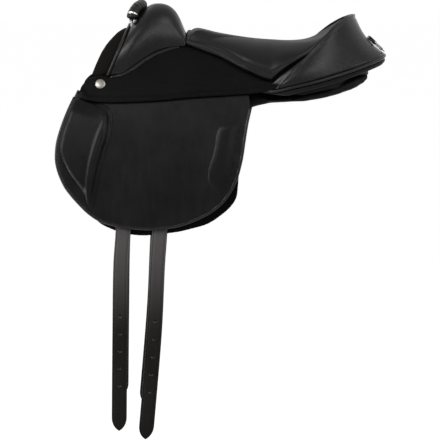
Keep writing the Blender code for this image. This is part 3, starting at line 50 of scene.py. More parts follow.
class Line:  # smooth line through points, with a corner between its spans, read by its share of length
    def __init__(self, *spans, perSpan=14):
        self.points = []
        for span in spans:
            smooth = self.smooth([Vector(p) for p in span], perSpan)
            self.points += smooth[1:] if self.points else smooth
        self.reach = [0.0]
        for p, q in zip(self.points, self.points[1:]):
            self.reach.append(self.reach[-1] + (q - p).length)
        self.length = self.reach[-1]

    def smooth(self, points, perSpan):
        last = len(points) - 1
        fine = []
        for i in range(last):
            before = points[i - 1] if i else points[0] * 2.0 - points[1]
            after = points[i + 2] if i + 2 <= last else points[last] * 2.0 - points[last - 1]
            for k in range(perSpan):
                t = k / perSpan
                a = (points[i] * 3.0 - before - points[i + 1] * 3.0 + after) * 0.5
                b = (before * 2.0 - points[i] * 5.0 + points[i + 1] * 4.0 - after) * 0.5
                c = (points[i + 1] - before) * 0.5
                fine.append(a * t ** 3 + b * t ** 2 + c * t + points[i])
        return fine + [points[last]]

    def at(self, share):
        want = min(1.0, max(0.0, share)) * self.length
        low, high = 0, len(self.reach) - 1
        while high - low > 1:
            middle = (low + high) // 2
            low, high = (middle, high) if self.reach[middle] <= want else (low, middle)
        step = self.reach[high] - self.reach[low]
        return self.points[low].lerp(self.points[high], (want - self.reach[low]) / step if step else 0.0)

    def spread(self, count):
        return [self.at(k / (count - 1)) for k in range(count)]


class Near:  # nearest distance to a set of points
    def __init__(self, points):
        self.tree = KDTree(len(points))
        for i, p in enumerate(points):
            self.tree.insert(p, i)
        self.tree.balance()

    def far(self, place):
        return self.tree.find(place)[2]


def mm(*points):  # points typed in millimetres
    return tuple(tuple(value / 1000.0 for value in p) for p in points)


def up(height):
    return Vector((0.0, 0.0, height))


def heightAt(table, x):  # value at x of a smooth line through (x, value) pairs
    if x <= table[0][0]:
        return table[0][1]
    for i in range(len(table) - 1):
        x0, v0 = table[i]
        x1, v1 = table[i + 1]
        if x <= x1:
            before = table[max(i - 1, 0)]
            after = table[min(i + 2, len(table) - 1)]
            slope0 = (v1 - before[1]) / (x1 - before[0])
            slope1 = (after[1] - v0) / (after[0] - x0)
            t = (x - x0) / (x1 - x0)
            step = x1 - x0
            return ((2 * t ** 3 - 3 * t ** 2 + 1) * v0 + (t ** 3 - 2 * t ** 2 + t) * step * slope0
                    + (3 * t ** 2 - 2 * t ** 3) * v1 + (t ** 3 - t ** 2) * step * slope1)
    return table[-1][1]


def ease(low, high, value):
    t = min(1.0, max(0.0, (value - low) / (high - low)))
    return t * t * (3.0 - 2.0 * t)


def bump(distance, width):
    return math.exp(-(distance / width) ** 2)


def barrelY(x, z, depth):
    down = x * math.sin(barrel["rise"]) - (z - barrel["height"]) * math.cos(barrel["rise"])
    radius = barrel["radius"] - depth
    climb = max(0.0, barrel["radius"] * math.sin(barrel["slope"]) - down)
    centre = barrel["halfWidth"] - barrel["radius"] * math.cos(barrel["slope"])
    return centre + math.sqrt(radius ** 2 - climb ** 2)


def fromLine(run, down):
    lean, rise = math.sin(barrel["rise"]), math.cos(barrel["rise"])
    return Vector((run * rise + down * lean, barrel["height"] + run * lean - down * rise))


def mirrorLine(half):  # whole line from near to far, from a half that ends on the centre plane
    return ([Vector((p[0], -p[1], p[2])) for p in half]
            + [Vector((p[0], p[1], p[2])) for p in reversed(half[:-1])])


# materials

class Wire:  # a shader socket that can be used in sums
    def __init__(self, paint, socket):
        self.paint = paint
        self.socket = socket

    def __add__(self, other):
        return self.paint.math("ADD", self, other)

    def __sub__(self, other):
        return self.paint.math("SUBTRACT", self, other)

    def __mul__(self, other):
        return self.paint.math("MULTIPLY", self, other)

    __radd__ = __add__


class Paint:  # a material and its nodes
    def __init__(self, name, **settings):
        self.material = bpy.data.materials.new(name)
        self.material.use_nodes = True
        self.tree = self.material.node_tree
        self.shader = self.tree.nodes["Principled BSDF"]
        for key, value in settings.items():
            self.give(key, value)

    def feed(self, socket, value):
        if isinstance(value, Wire):
            self.tree.links.new(value.socket, socket)
        else:
            socket.default_value = value

    def give(self, name, value):
        self.feed(self.shader.inputs[name], value)

    def node(self, kind, settings=None, inputs=None, output=0):
        item = self.tree.nodes.new(kind)
        for key, value in (settings or {}).items():
            if key == "stops":
                self.setStops(item.color_ramp, value)
            else:
                setattr(item, key, value)
        for key, value in (inputs or {}).items():
            self.feed(item.inputs[key], value)
        return Wire(self, item.outputs[output])

    def setStops(self, ramp, stops):
        while len(ramp.elements) < len(stops):
            ramp.elements.new(1.0)
        for element, (place, value) in zip(ramp.elements, stops):
            element.position = place
            element.color = (value, value, value, 1.0)

    def place(self, scale=(1.0, 1.0, 1.0)):
        spot = self.node("ShaderNodeTexCoord", output="Object")
        return self.node("ShaderNodeMapping", inputs={"Vector": spot, "Scale": scale})

    def math(self, operation, *values):
        return self.node("ShaderNodeMath", {"operation": operation}, dict(enumerate(values)))

    def noise(self, scale, detail=2.0, roughness=0.5, where=None):
        return self.node("ShaderNodeTexNoise", inputs={"Vector": where or self.place(), "Scale": scale,
                                                       "Detail": detail, "Roughness": roughness})

    def cells(self, scale):
        return self.node("ShaderNodeTexVoronoi", {"feature": "DISTANCE_TO_EDGE"},
                         {"Vector": self.place(), "Scale": scale})

    def along(self, axis, low, high, span=None):  # smooth share of the way, or a span that falls to the sides
        spot = self.node("ShaderNodeTexCoord", output="Object")
        place = self.node("ShaderNodeSeparateXYZ", inputs={"Vector": spot}, output=axis)
        if span:
            place = self.math("ABSOLUTE", place)
        inputs = {"Value": place, "From Min": low, "From Max": high}
        if span:
            inputs.update({"To Min": span, "To Max": 0.0})
        return self.node("ShaderNodeMapRange", {"interpolation_type": "SMOOTHSTEP"}, inputs)

    def ramp(self, value, *stops):
        return self.node("ShaderNodeValToRGB", {"stops": stops}, {"Fac": value})

    def blend(self, share, first, second):
        item = self.tree.nodes.new("ShaderNodeMix")
        item.data_type = "RGBA"
        for key, kind, value in (("Factor", "VALUE", share), ("A", "RGBA", first), ("B", "RGBA", second)):
            socket = [s for s in item.inputs if s.name == key and s.type == kind][0]
            self.feed(socket, (*value, 1.0) if isinstance(value, tuple) else value)
        return Wire(self, [s for s in item.outputs if s.type == "RGBA"][0])

    def raised(self, height, distance, strength=1.0, over=None):
        inputs = {"Height": height, "Distance": distance, "Strength": strength}
        if over:
            inputs["Normal"] = over
        return self.node("ShaderNodeBump", inputs=inputs)


leatherKeys = ("dark", "light", "rough", "grain", "depth", "streak", "level")
leatherLooks = {
    "smooth": ((0.002, 0.002, 0.0022), (0.0044, 0.0043, 0.0044), 0.28, 1250.0, 0.00004, 0.0, 0.165),
    "seat": ((0.0022, 0.0022, 0.0024), (0.0048, 0.0047, 0.0048), 0.3, 1250.0, 0.00004, 0.0, 0.125),
    "skirt": ((0.001, 0.001, 0.0011), (0.0026, 0.0025, 0.0025), 0.36, 1500.0, 0.00004, 0.3, 0.035),
    "flap": ((0.0012, 0.0012, 0.0013), (0.0062, 0.0061, 0.006), 0.38, 1500.0, 0.00004, 1.3, 0.078),
    "pad": ((0.0014, 0.0014, 0.0015), (0.005, 0.0049, 0.0048), 0.29, 1500.0, 0.00004, 0.8, 0.085),
    "strap": ((0.004, 0.0039, 0.004), (0.009, 0.0088, 0.0089), 0.34, 1400.0, 0.00003, 0.5, 0.2),
    "billet": ((0.003, 0.0028, 0.0026), (0.011, 0.01, 0.0092), 0.36, 1400.0, 0.00003, 0.5, 0.055),
    "under": ((0.001, 0.001, 0.001), (0.003, 0.003, 0.0028), 0.55, 800.0, 0.0001, 0.0, 0.02),
    "dull": ((0.0026, 0.0026, 0.0032), (0.0052, 0.0052, 0.006), 0.48, 1000.0, 0.0001, 0.0, 0.07),
    "lining": ((0.0022, 0.0019, 0.0014), (0.005, 0.0045, 0.0036), 0.8, 900.0, 0.00012, 0.0, 0.04),
    "grip": ((0.003, 0.003, 0.0031), (0.008, 0.0078, 0.0078), 0.36, 1300.0, 0.00008, 0.0, 0.14),
}
billetSheenPlan = {"colour": (0.06, 0.0565, 0.056), "from": -0.345, "to": -0.185}  # painted sheen: the billets' upper ends are painted lighter, standing in for light from the front
mattPlan = {"rough": 0.24, "from": 0.09, "to": 0.062}  # the middle of the seat is duller
grainPlan = {
    "cloud": (24.0, 3.0, 0.55), "cloudRough": 0.14, "wear": ((0.3, 0.0), (0.75, 1.0)), "wearShare": 0.55,
    "streak": (130.0, 4.0, 0.6), "streakShare": 1.1, "fineRough": 0.06, "fineScale": 2.2,
    "poreColour": ((0.0, 0.0), (0.12, 1.0)), "poreShare": 0.35,
    "poreStops": ((0.0, 0.0), (0.1, 0.85), (0.4, 1.0)), "poreBump": 0.7,
    "broadScale": 95.0, "broadDepth": 0.00022, "broadBump": 0.35,
}


def makeLeather(name, look):
    plan = grainPlan
    paint = Paint(name + "Leather")
    cloud = paint.noise(*plan["cloud"])
    pores = paint.cells(look["grain"])
    fine = paint.noise(look["grain"] * plan["fineScale"], 1.0)
    wear = paint.ramp(cloud, *plan["wear"])
    mix = wear * plan["wearShare"] + paint.ramp(pores, *plan["poreColour"]) * plan["poreShare"]
    if look["streak"]:
        streaks = paint.noise(*plan["streak"], paint.place((1.0, 1.0, 0.1)))
        mix = mix + (streaks - 0.5) * look["streak"] * plan["streakShare"]
    colour = paint.blend(mix, look["dark"], look["light"])
    if name == "billet":
        # painted sheen: the billet colour is blended towards a lighter grey at the upper ends
        colour = paint.blend(paint.along("Z", billetSheenPlan["from"], billetSheenPlan["to"]), colour, billetSheenPlan["colour"])
    paint.give("Base Color", colour)
    rough = look["rough"] + (cloud - 0.5) * plan["cloudRough"] + (fine - 0.5) * plan["fineRough"]
    if name == "seat":
        rough = rough + paint.along("Y", mattPlan["to"], mattPlan["from"], mattPlan["rough"])
    paint.give("Roughness", rough)
    paint.give("Specular IOR Level", look["level"])
    grain = paint.raised(paint.ramp(pores, *plan["poreStops"]), look["depth"], plan["poreBump"])
    broad = paint.raised(paint.noise(plan["broadScale"], 3.0), plan["broadDepth"], plan["broadBump"], grain)
    paint.give("Normal", broad)
    return paint.material


metalLooks = {  # colour, roughness, scale of the scratches
    "nickel": ((0.58, 0.57, 0.54), 0.16, 260.0),
    "nail": ((0.2, 0.19, 0.175), 0.36, 160.0),
    "steel": ((0.56, 0.56, 0.57), 0.34, 420.0),
    "darkSteel": ((0.2, 0.2, 0.21), 0.38, 420.0),
}
metalPlan = {"stretch": (1.0, 0.15, 0.15), "cloud": (60.0, 2.0), "dull": 0.82, "smear": 0.16,
             "bump": (0.00003, 0.5)}
plainPlan = {"cloud": (30.0, 3.0), "share": 0.6, "rough": 0.15, "bump": 0.8}
webPlan = {"run": (160.0, 0.6), "cross": (110.0, 0.4), "fuzz": 1500.0, "share": 0.7, "rough": (0.82, 0.1),
           "bump": (0.0003, 0.8)}


def makeMetal(name, colour, rough, scratch):
    plan = metalPlan
    paint = Paint(name, Metallic=1.0)
    smear = paint.noise(scratch, 3.0, 0.6, paint.place(plan["stretch"]))
    cloud = paint.noise(*plan["cloud"])
    dull = tuple(c * plan["dull"] for c in colour)
    paint.give("Base Color", paint.blend(cloud, colour, dull))
    paint.give("Roughness", rough + (smear - 0.5) * plan["smear"])
    paint.give("Normal", paint.raised(smear, *plan["bump"]))
    return paint.material


def makePlain(name, dark, light, rough, scale, depth):  # moulded plastic, foam and thread
    plan = plainPlan
    paint = Paint(name)
    cloud = paint.noise(*plan["cloud"])
    pits = paint.noise(scale, 2.0, 0.6)
    paint.give("Base Color", paint.blend(cloud * plan["share"] + pits * (1.0 - plan["share"]), dark, light))
    paint.give("Roughness", rough + (pits - 0.5) * plan["rough"])
    paint.give("Normal", paint.raised(pits, depth, plan["bump"]))
    return paint.material


def makeWebbing(name, dark, light):
    plan = webPlan
    paint = Paint(name)
    waves = []
    for axis, (scale, bent) in (("Y", plan["run"]), ("X", plan["cross"])):
        inputs = {"Vector": paint.place(), "Scale": scale, "Distortion": bent, "Detail": 1.0}
        waves.append(paint.node("ShaderNodeTexWave", {"wave_type": "BANDS", "bands_direction": axis}, inputs))
    weave = waves[0] * waves[1]
    fuzz = paint.noise(plan["fuzz"], 2.0)
    mix = weave * plan["share"] + fuzz * (1.0 - plan["share"])
    paint.give("Base Color", paint.blend(mix, dark, light))
    least, more = plan["rough"]
    paint.give("Roughness", least + (fuzz - 0.5) * more)
    paint.give("Normal", paint.raised(weave, *plan["bump"]))
    return paint.material


leather = {key: makeLeather(key, dict(zip(leatherKeys, look))) for key, look in leatherLooks.items()}
metal = {key: makeMetal(key, *look) for key, look in metalLooks.items()}
treePlastic = makePlain("treePlastic", (0.02, 0.02, 0.022), (0.034, 0.034, 0.036), 0.55, 900.0, 0.00008)
foamGrey = makePlain("foamGrey", (0.01, 0.01, 0.01), (0.024, 0.023, 0.022), 0.9, 700.0, 0.0004)
webbing = makeWebbing("webbing", (0.3, 0.28, 0.21), (0.52, 0.49, 0.4))
threadBlack = makePlain("threadBlack", (0.003, 0.003, 0.003), (0.009, 0.009, 0.009), 0.75, 2500.0, 0.00005)
threadBlack.node_tree.nodes["Principled BSDF"].inputs["Specular IOR Level"].default_value = 0.15
print("materials made")


# pieces

def meshOf(name, shape):
    mesh = bpy.data.meshes.new(name)
    shape.to_mesh(mesh)
    shape.free()
    return mesh


def added(name, data):
    item = bpy.data.objects.new(name, data)
    bpy.context.scene.collection.objects.link(item)
    return item


def finishPiece(name, shape, material, replaced=None, body="saddle", corner=None):
    bmesh.ops.remove_doubles(shape, verts=shape.verts, dist=1e-6)
    bmesh.ops.recalc_face_normals(shape, faces=shape.faces)
    mesh = meshOf(name, shape)
    mesh.materials.append(material)
    mesh.shade_smooth()
    if corner:
        mesh.set_sharp_from_angle(angle=math.radians(corner))
    piece = added(name, mesh)
    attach(piece, body)
    if replaced:
        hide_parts(replaced)
    return piece


def baked(piece):  # the mesh that its modifiers give
    return bpy.data.meshes.new_from_object(piece.evaluated_get(bpy.context.evaluated_depsgraph_get()))


def subdivided(piece, levels):
    modifier = piece.modifiers.new("smooth", "SUBSURF")
    modifier.levels = levels
    modifier.render_levels = levels
    return piece


def walled(piece, thickness):  # leather grows inwards from the outer face
    modifier = piece.modifiers.new("wall", "SOLIDIFY")
    modifier.thickness = thickness
    modifier.offset = -1.0


def gridShape(columns, rows, place):  # a flat grid whose points all move to their places
    shape = bmesh.new()
    bmesh.ops.create_grid(shape, x_segments=columns, y_segments=rows, size=0.5)
    for v in shape.verts:
        v.co = place(v.co.x + 0.5, v.co.y + 0.5)
    return shape


def runShape(runs, closed=False, ring=False):  # a grid laid on runs of points, that may close both ways
    width, height = len(runs), len(runs[0])
    across, along = width - (not closed), height - (not ring)
    shape = gridShape(across, along,
                      lambda u, v: runs[int(round(u * across)) % width][int(round(v * along)) % height])
    bmesh.ops.remove_doubles(shape, verts=shape.verts, dist=1e-6)
    if ring and not closed:
        bmesh.ops.holes_fill(shape, edges=[e for e in shape.edges if e.is_boundary], sides=0)
    return shape


def cutPattern(outline, cell, rings):  # flat leather in the XZ plane, ringed by its edge and cut in cells
    shape = bmesh.new()
    face = shape.faces.new([shape.verts.new((p[0], 0.0, p[1])) for p in outline])
    for width in rings:
        bmesh.ops.inset_region(shape, faces=[face], thickness=width, use_even_offset=True)
    for axis in (0, 2):
        low = min(v.co[axis] for v in shape.verts)
        high = max(v.co[axis] for v in shape.verts)
        normal = Vector()
        normal[axis] = 1.0
        count = int((high - low) / cell)
        for k in range(1, count + 1):
            bmesh.ops.bisect_plane(shape, geom=shape.verts[:] + shape.edges[:] + shape.faces[:],
                                   plane_co=normal * (low + (high - low) * k / (count + 1)),
                                   plane_no=normal, dist=1e-5)
    return shape


def thicken(shape, outer, inner):  # a flat pattern becomes closed leather between two heights
    low = list(shape.verts)
    made = bmesh.ops.extrude_face_region(shape, geom=shape.faces[:], use_keep_orig=True)
    top = [item for item in made["geom"] if isinstance(item, bmesh.types.BMVert)]
    spots = [v.co.copy() for v in top]
    for v in low:
        v.co = inner(v.co)
    for v, spot in zip(top, spots):
        v.co = outer(spot)


def onSide(side, depth):
    return lambda p, lift=0.0: Vector((p.x, side * barrelY(p.x, p.z, depth - lift), p.z))


def rimRound(distance, radius):  # how far a rounded rim falls at this distance from the edge
    t = max(0.0, radius - distance)
    return radius - math.sqrt(max(0.0, radius * radius - t * t))


def insideEdge(points, reach):
    result = []
    last = len(points) - 1
    for i, p in enumerate(points):
        step = points[min(i + 1, last)] - points[max(i - 1, 0)]
        result.append(p + Vector((-step[1], step[0])).normalized() * reach)
    return result


def tubeShape(points, radius, around, shaped=None):  # tube of rings along points
    shape = bmesh.new()
    rings, lift, last = [], None, len(points) - 1
    for i, p in enumerate(points):
        step = (points[min(i + 1, last)] - points[max(i - 1, 0)]).normalized()
        if lift is None:
            lift = step.orthogonal().normalized()
        lift = (lift - step * lift.dot(step)).normalized()
        across = step.cross(lift)
        made = bmesh.ops.create_circle(shape, segments=around, radius=1.0)["verts"]
        for k, v in enumerate(made):
            angle = 2.0 * math.pi * k / around
            size = shaped(i / last, angle) if shaped else radius
            v.co = p + (lift * math.cos(angle) + across * math.sin(angle)) * size
        rings.append(made)
    for low, high in zip(rings, rings[1:]):
        edges = [e for ring in (low, high) for v in ring for e in v.link_edges if e.other_vert(v) in ring]
        bmesh.ops.bridge_loops(shape, edges=list(set(edges)))
    for ring in (rings[0], rings[-1]):
        shape.faces.new(ring)
    return shape


stitchPlan = {"pitch": 0.0032, "length": 0.0022, "width": 0.0007, "reach": 0.4}


def stitchRow(name, points, outward, body):
    plan = stitchPlan
    line = Line(points, perSpan=1)
    shape = bmesh.new()
    count = max(2, int(line.length / plan["pitch"]))
    for k in range(count):
        place = line.at((k + 0.5) / count)
        ahead = line.at((k + 0.5 + plan["reach"]) / count) - line.at((k + 0.5 - plan["reach"]) / count)
        normal = outward(place)
        across = ahead.normalized().cross(normal).normalized()
        turn = Matrix((ahead.normalized(), across, normal)).transposed().to_4x4()
        turn.translation = place
        size = Matrix.Diagonal((plan["length"] / 2, plan["width"] / 2, plan["width"] / 2, 1.0))
        bmesh.ops.create_icosphere(shape, subdivisions=1, radius=1.0, matrix=turn @ size)
    finishPiece(name, shape, threadBlack, body=body)


def sideNormal(side):
    def normal(p):
        step = 0.001
        rise = (barrelY(p.x, p.z + step, 0.0) - barrelY(p.x, p.z - step, 0.0)) / (2 * step)
        lean = (barrelY(p.x + step, p.z, 0.0) - barrelY(p.x - step, p.z, 0.0)) / (2 * step)
        return Vector((-lean, side, -rise)).normalized()
    return normal


# flaps with their knee and thigh blocks

flapPlan = {
    "depth": 0.0033, "leather": 0.0045, "front": -0.2095, "rear": 0.036, "head": 0.0033, "cell": 0.0042,
    "rings": (0.0007, 0.0012, 0.002, 0.0028, 0.0014, 0.0014, 0.0016), "rim": 0.0013, "binding": 0.0026,
    "creaseIn": 0.0088, "creaseDeep": 0.00045, "creaseWidth": 0.0011,
    "swell": 0.0004, "swellIn": 0.0058, "swellWidth": 0.0022,
    "edge": mm((-216.5, 11.5), (-225.5, -7.2), (-234.3, -29.8), (-240.8, -52.3), (-242.7, -72.1),
        (-241.8, -83.4), (-239, -94.7), (-234.6, -106.1), (-228.8, -117.5), (-220.3, -128.9),
        (-210.1, -140.4), (-198.8, -151.9), (-187.7, -160.8), (-177.6, -166.4), (-166.1, -170.4),
        (-153.2, -173.7), (-140.2, -176.3), (-122.9, -178), (-100, -178.5), (-62, -173.5), (-24, -158.5),
        (-1, -141.5), (12.5, -124), (22, -103), (27.5, -83.7), (30.5, -69), (33.5, -49.6), (37.5, -26.9),
        (43, -4.2)),
}
kneePlan = {
    "front": mm((-205.5, 12), (-214, 7.5), (-221.3, -4.8), (-226.4, -19), (-231.6, -32.5), (-235, -47.7),
        (-236.4, -60.5), (-233.2, -74.5), (-226.4, -90.2), (-218.6, -103), (-209.4, -114.8),
        (-202.5, -125.2), (-197.5, -137.2), (-191.5, -147.5)),
    "rear": mm((-191.5, -147.5), (-186.8, -144.5), (-185.2, -137.9), (-183.2, -126.2), (-179.8, -109.4),
        (-175.9, -91.4), (-172, -77.3), (-167.9, -63.2), (-163.4, -50.3), (-160.1, -33.7), (-158.8, -20.9),
        (-159.4, -11.9), (-164, -5), (-170.7, 0), (-179, 3)),
    "top": mm((-179, 3), (-190, 5.8), (-198, 9), (-205.5, 12)),
    "ridge": mm((-170.8, -21.6), (-175.8, -33.7), (-182.3, -50.3), (-187.6, -68.2), (-191.5, -83.6),
        (-194.1, -100.5), (-195.5, -114.7), (-196.2, -130.2), (-194.5, -142)),
    "height": 0.008, "ridgeHeight": 0.0022, "ridgeWidth": 0.0019, "cell": 0.0019,
    "rings": (0.0005, 0.0007, 0.0009, 0.001, 0.0012), "off": 0.0002, "edge": 0.0003,
    "beadHeight": 0.0013, "beadIn": 0.0014, "beadWidth": 0.0016,
    "grooveDeep": 0.0012, "grooveIn": 0.005, "grooveWidth": 0.0022,
    "round": 0.0058, "roundGrow": 0.007, "low": (-0.06, -0.125), "slope": 0.0098, "slopeGrow": 0.003,
    "slopeFrom": 0.0012, "slopeAt": (-0.035, -0.012), "thin": 0.45, "thinAt": (-0.112, -0.146),
    "ridgeAt": (-0.016, -0.034), "ridgeIn": (0.0, 0.004), "grooveAt": (-0.004, -0.016),
    "browIn": ((0.0, 0.006), (0.002, 0.026)), "edgeIn": (0.0, 0.0005), "fill": 0.9,
}
thighPlan = {
    "outline": mm((25.7, -23.4), (14.4, -24.1), (2.6, -26.6), (-4.7, -31.1), (-8.7, -37.5), (-10.6, -47.7),
        (-12.2, -58.2), (-15.4, -72.3), (-19.6, -85.2), (-21.5, -95.5), (-22.3, -103.3), (-20.3, -111),
        (-15.1, -117.6), (-9.8, -123.5), (-5.4, -128.7)),
    "rearEdge": mm((-5.4, -128.7), (1.9, -120.2), (8.4, -108.5), (13.8, -90.3), (17.8, -69), (20.8, -47.7),
        (24, -33), (25.7, -23.4)),
    "height": 0.0017, "cell": 0.0026, "off": 0.0005, "edge": 0.0005,
    "rings": (0.0005, 0.0005, 0.0005, 0.0005, 0.0006, 0.0008, 0.0012, 0.0016),
    "beadHeight": 0.00056, "beadLow": 0.00064, "beadIn": 0.0013, "beadWidth": 0.0009, "beadGrow": 0.3,
    "beadRear": (0.0, 0.005), "low": (-0.06, -0.105), "rimIn": (0.0004, 0.0065), "rearIn": (0.0, 0.015),
    "edgeIn": (0.0, 0.0006), "fill": 0.9,
}


def flat(points):
    return [Vector((p[0], 0.0, p[1])) for p in points]


def leatherLine(plan, *parts):  # flat line through a plan's tables
    return Line(*[flat(plan[part]) for part in parts])


def cutOutline(plan, rim, count):
    return cutPattern([(p.x, p.z) for p in rim.spread(count)[:-1]], plan["cell"], plan["rings"])


def makeFlap(name, side):
    plan, body = flapPlan, "flap_" + name
    whole = Line(plan["edge"])
    edge, line, sewn = (insideEdge([Vector(p) for p in whole.spread(count)], plan[inset])
                        for count, inset in ((150, "binding"), (130, "binding"), (120, "creaseIn")))
    head = [fromLine(plan[end], plan["head"]) for end in ("front", "rear")]
    shape = cutPattern([tuple(p) for p in (head[0], *edge, head[1])], plan["cell"], plan["rings"])
    border = Near(flat(edge))
    place = onSide(side, plan["depth"])
    under = onSide(side, plan["depth"] + plan["leather"])

    def outer(p):
        d = border.far(p)
        lift = plan["swell"] * bump(d - plan["swellIn"], plan["swellWidth"])
        lift -= plan["creaseDeep"] * bump(d - plan["creaseIn"], plan["creaseWidth"])
        return place(p, lift - rimRound(d, plan["rim"]))

    thicken(shape, outer, lambda p: under(p, rimRound(border.far(p), plan["rim"])))
    finishPiece(body + "_leather", shape, leather["flap"], body, body)
    middle = onSide(side, plan["depth"] + plan["leather"] / 2)
    tube = tubeShape([middle(p) for p in flat(line)], plan["binding"], 14)
    finishPiece(body + "_piping", tube, leather["smooth"], "flap_binding_" + name, body)
    top = onSide(side, plan["depth"] + plan["creaseDeep"] * 0.6)
    stitchRow(body + "_stitches", [top(p) for p in flat(sewn[2:-2])], sideNormal(side), body)


def makeKneeBlock(name, side):
    plan = kneePlan
    shape = cutOutline(plan, leatherLine(plan, "front", "rear", "top"), 150)
    front, rear, top, ridge = (Near(leatherLine(plan, part).spread(count)) for part, count in
                               (("front", 240), ("rear", 240), ("top", 120), ("ridge", 240)))
    place = onSide(side, flapPlan["depth"] + plan["off"])

    def outer(p):
        a, b, c, e = front.far(p), rear.far(p), ridge.far(p), top.far(p)
        t = min(1.0, a / (plan["round"] + plan["roundGrow"] * ease(*plan["low"], p.z)))
        fore = math.sqrt(1.0 - (1.0 - t) ** 2)
        back = ease(plan["slopeFrom"], plan["slope"] + plan["slopeGrow"] * ease(*plan["slopeAt"], p.z), b)
        brow = sum(ease(*reach, e) for reach in plan["browIn"]) / 2
        thin = 1.0 - plan["thin"] * ease(*plan["thinAt"], p.z)
        lift = plan["height"] * fore * back * brow * thin
        grown = ease(*plan["ridgeAt"], p.z) * thin
        lift += plan["ridgeHeight"] * bump(c, plan["ridgeWidth"]) * grown * ease(*plan["ridgeIn"], a)
        groove = plan["grooveDeep"] * bump(b - plan["grooveIn"], plan["grooveWidth"])
        lift -= groove * ease(*plan["grooveAt"], p.z) * fore
        lift += plan["beadHeight"] * bump(b - plan["beadIn"], plan["beadWidth"]) * brow * fore
        return place(p, lift + plan["edge"] * ease(*plan["edgeIn"], min(a, b, e)))

    thicken(shape, outer, place)
    node = "knee_block_" + name
    finishPiece(node + "_pad", shape, leather["pad"], node, "flap_" + name)


def makeThighBlock(name, side):
    plan = thighPlan
    shape = cutOutline(plan, leatherLine(plan, "outline", "rearEdge"), 120)
    bead, rear = (Near(leatherLine(plan, part).spread(count)) for part, count in
                  (("outline", 260), ("rearEdge", 160)))
    place = onSide(side, flapPlan["depth"] + plan["off"])

    def outer(p):
        a, b = bead.far(p), rear.far(p)
        low = ease(*plan["low"], p.z)
        lift = plan["height"] * ease(*plan["rimIn"], a) * ease(*plan["rearIn"], b)
        lift += plan["edge"] * ease(*plan["edgeIn"], a)
        swell = bump(a - plan["beadIn"], plan["beadWidth"] * (1.0 + plan["beadGrow"] * low))
        lift += (plan["beadHeight"] + plan["beadLow"] * low) * swell * ease(*plan["beadRear"], b)
        return place(p, lift)

    thicken(shape, outer, place)
    node = "thigh_block_" + name
    finishPiece(node + "_pad", shape, leather["pad"], node, "flap_" + name)


for name, side in sides:
    makeFlap(name, side)
    makeKneeBlock(name, side)
    makeThighBlock(name, side)
print("flaps made")


# skirts: the root stays on the tree and the lower band lifts about the bend line

skirtPlan = {
    "lower": mm((-207, 18), (-205, 10), (-185, 5), (-152, 4), (-102, 6), (-30, 12), (26, 15.2), (58, 18),
        (80, 22.5), (92, 26.2)),
    "tongue": mm((-207, 18), (-204, 27), (-195, 36), (-183, 40.5), (-160, 42), (-144, 44.5), (-130, 52.5),
        (-112, 65.5), (-92, 78.5), (-74, 83.5), (-51.5, 84)),
    "seatEdge": mm((-51.5, 84), (-27, 76.5), (-1, 66.5), (26, 51.5), (38, 46), (58, 37), (70.5, 33.5),
        (82, 34.5), (92, 32), (92, 26.2)),
    "split": 0.0365, "gap": 0.00004, "leather": 0.003, "cell": 0.0042, "rim": 0.0012,
    "rings": (0.0005, 0.0008, 0.0012, 0.0016), "creaseIn": 0.0075, "creaseDeep": 0.00045,
    "creaseWidth": 0.0012, "lip": 0.0028, "flare": 0.0021, "flareIn": 0.0095, "underFlare": 0.8,
}


def makeSkirt(name, side):
    plan = skirtPlan
    rim = Line(flat(plan["tongue"]), flat(plan["seatEdge"]), flat(plan["lower"][::-1]))
    border = Near(rim.spread(700))
    lowerRim = Near(leatherLine(plan, "lower").spread(300))
    place, under = onSide(side, 0.0), onSide(side, plan["leather"])
    lean, rise = math.sin(barrel["rise"]), math.cos(barrel["rise"])
    downAxis, runAxis = Vector((lean, 0.0, -rise)), Vector((rise, 0.0, lean))
    start = up(barrel["height"])

    def inBand(p, gap):
        return (p - start).dot(downAxis) > gap and (p - start).dot(runAxis) < plan["split"] - gap

    def flare(p):
        return plan["flare"] * (1.0 - ease(0.0, plan["flareIn"], lowerRim.far(p)))

    def outer(p):
        d, e = border.far(p), lowerRim.far(p)
        lift = flare(p) - plan["creaseDeep"] * bump(e - plan["creaseIn"], plan["creaseWidth"])
        return place(p, lift - max(rimRound(d, plan["rim"]), rimRound(e, plan["lip"])))

    for kind, wanted, body, replaced in (("root", False, "saddle", "skirt_root_"),
                                         ("band", True, "skirt_" + name, "skirt_")):
        gap = plan["gap"] if wanted else -plan["gap"]
        shape = cutOutline(plan, rim, 260)
        for spot, normal in ((start + downAxis * gap, downAxis),
                             (start + runAxis * (plan["split"] - gap), runAxis)):
            bmesh.ops.bisect_plane(shape, geom=shape.verts[:] + shape.edges[:] + shape.faces[:],
                                   plane_co=spot, plane_no=normal, dist=1e-6)
        drop = [f for f in shape.faces if inBand(f.calc_center_median(), gap) != wanted]
        bmesh.ops.delete(shape, geom=drop, context="FACES")
        thicken(shape, outer, lambda p: under(p, flare(p) * plan["underFlare"]))
        finishPiece("skirt_" + name + "_" + kind, shape, leather["skirt"], replaced + name, body, corner=50)


nailPlan = {"place": (-0.177, 0.03), "radius": 0.0075, "rim": 0.0006, "height": 0.0022, "dome": 0.96}


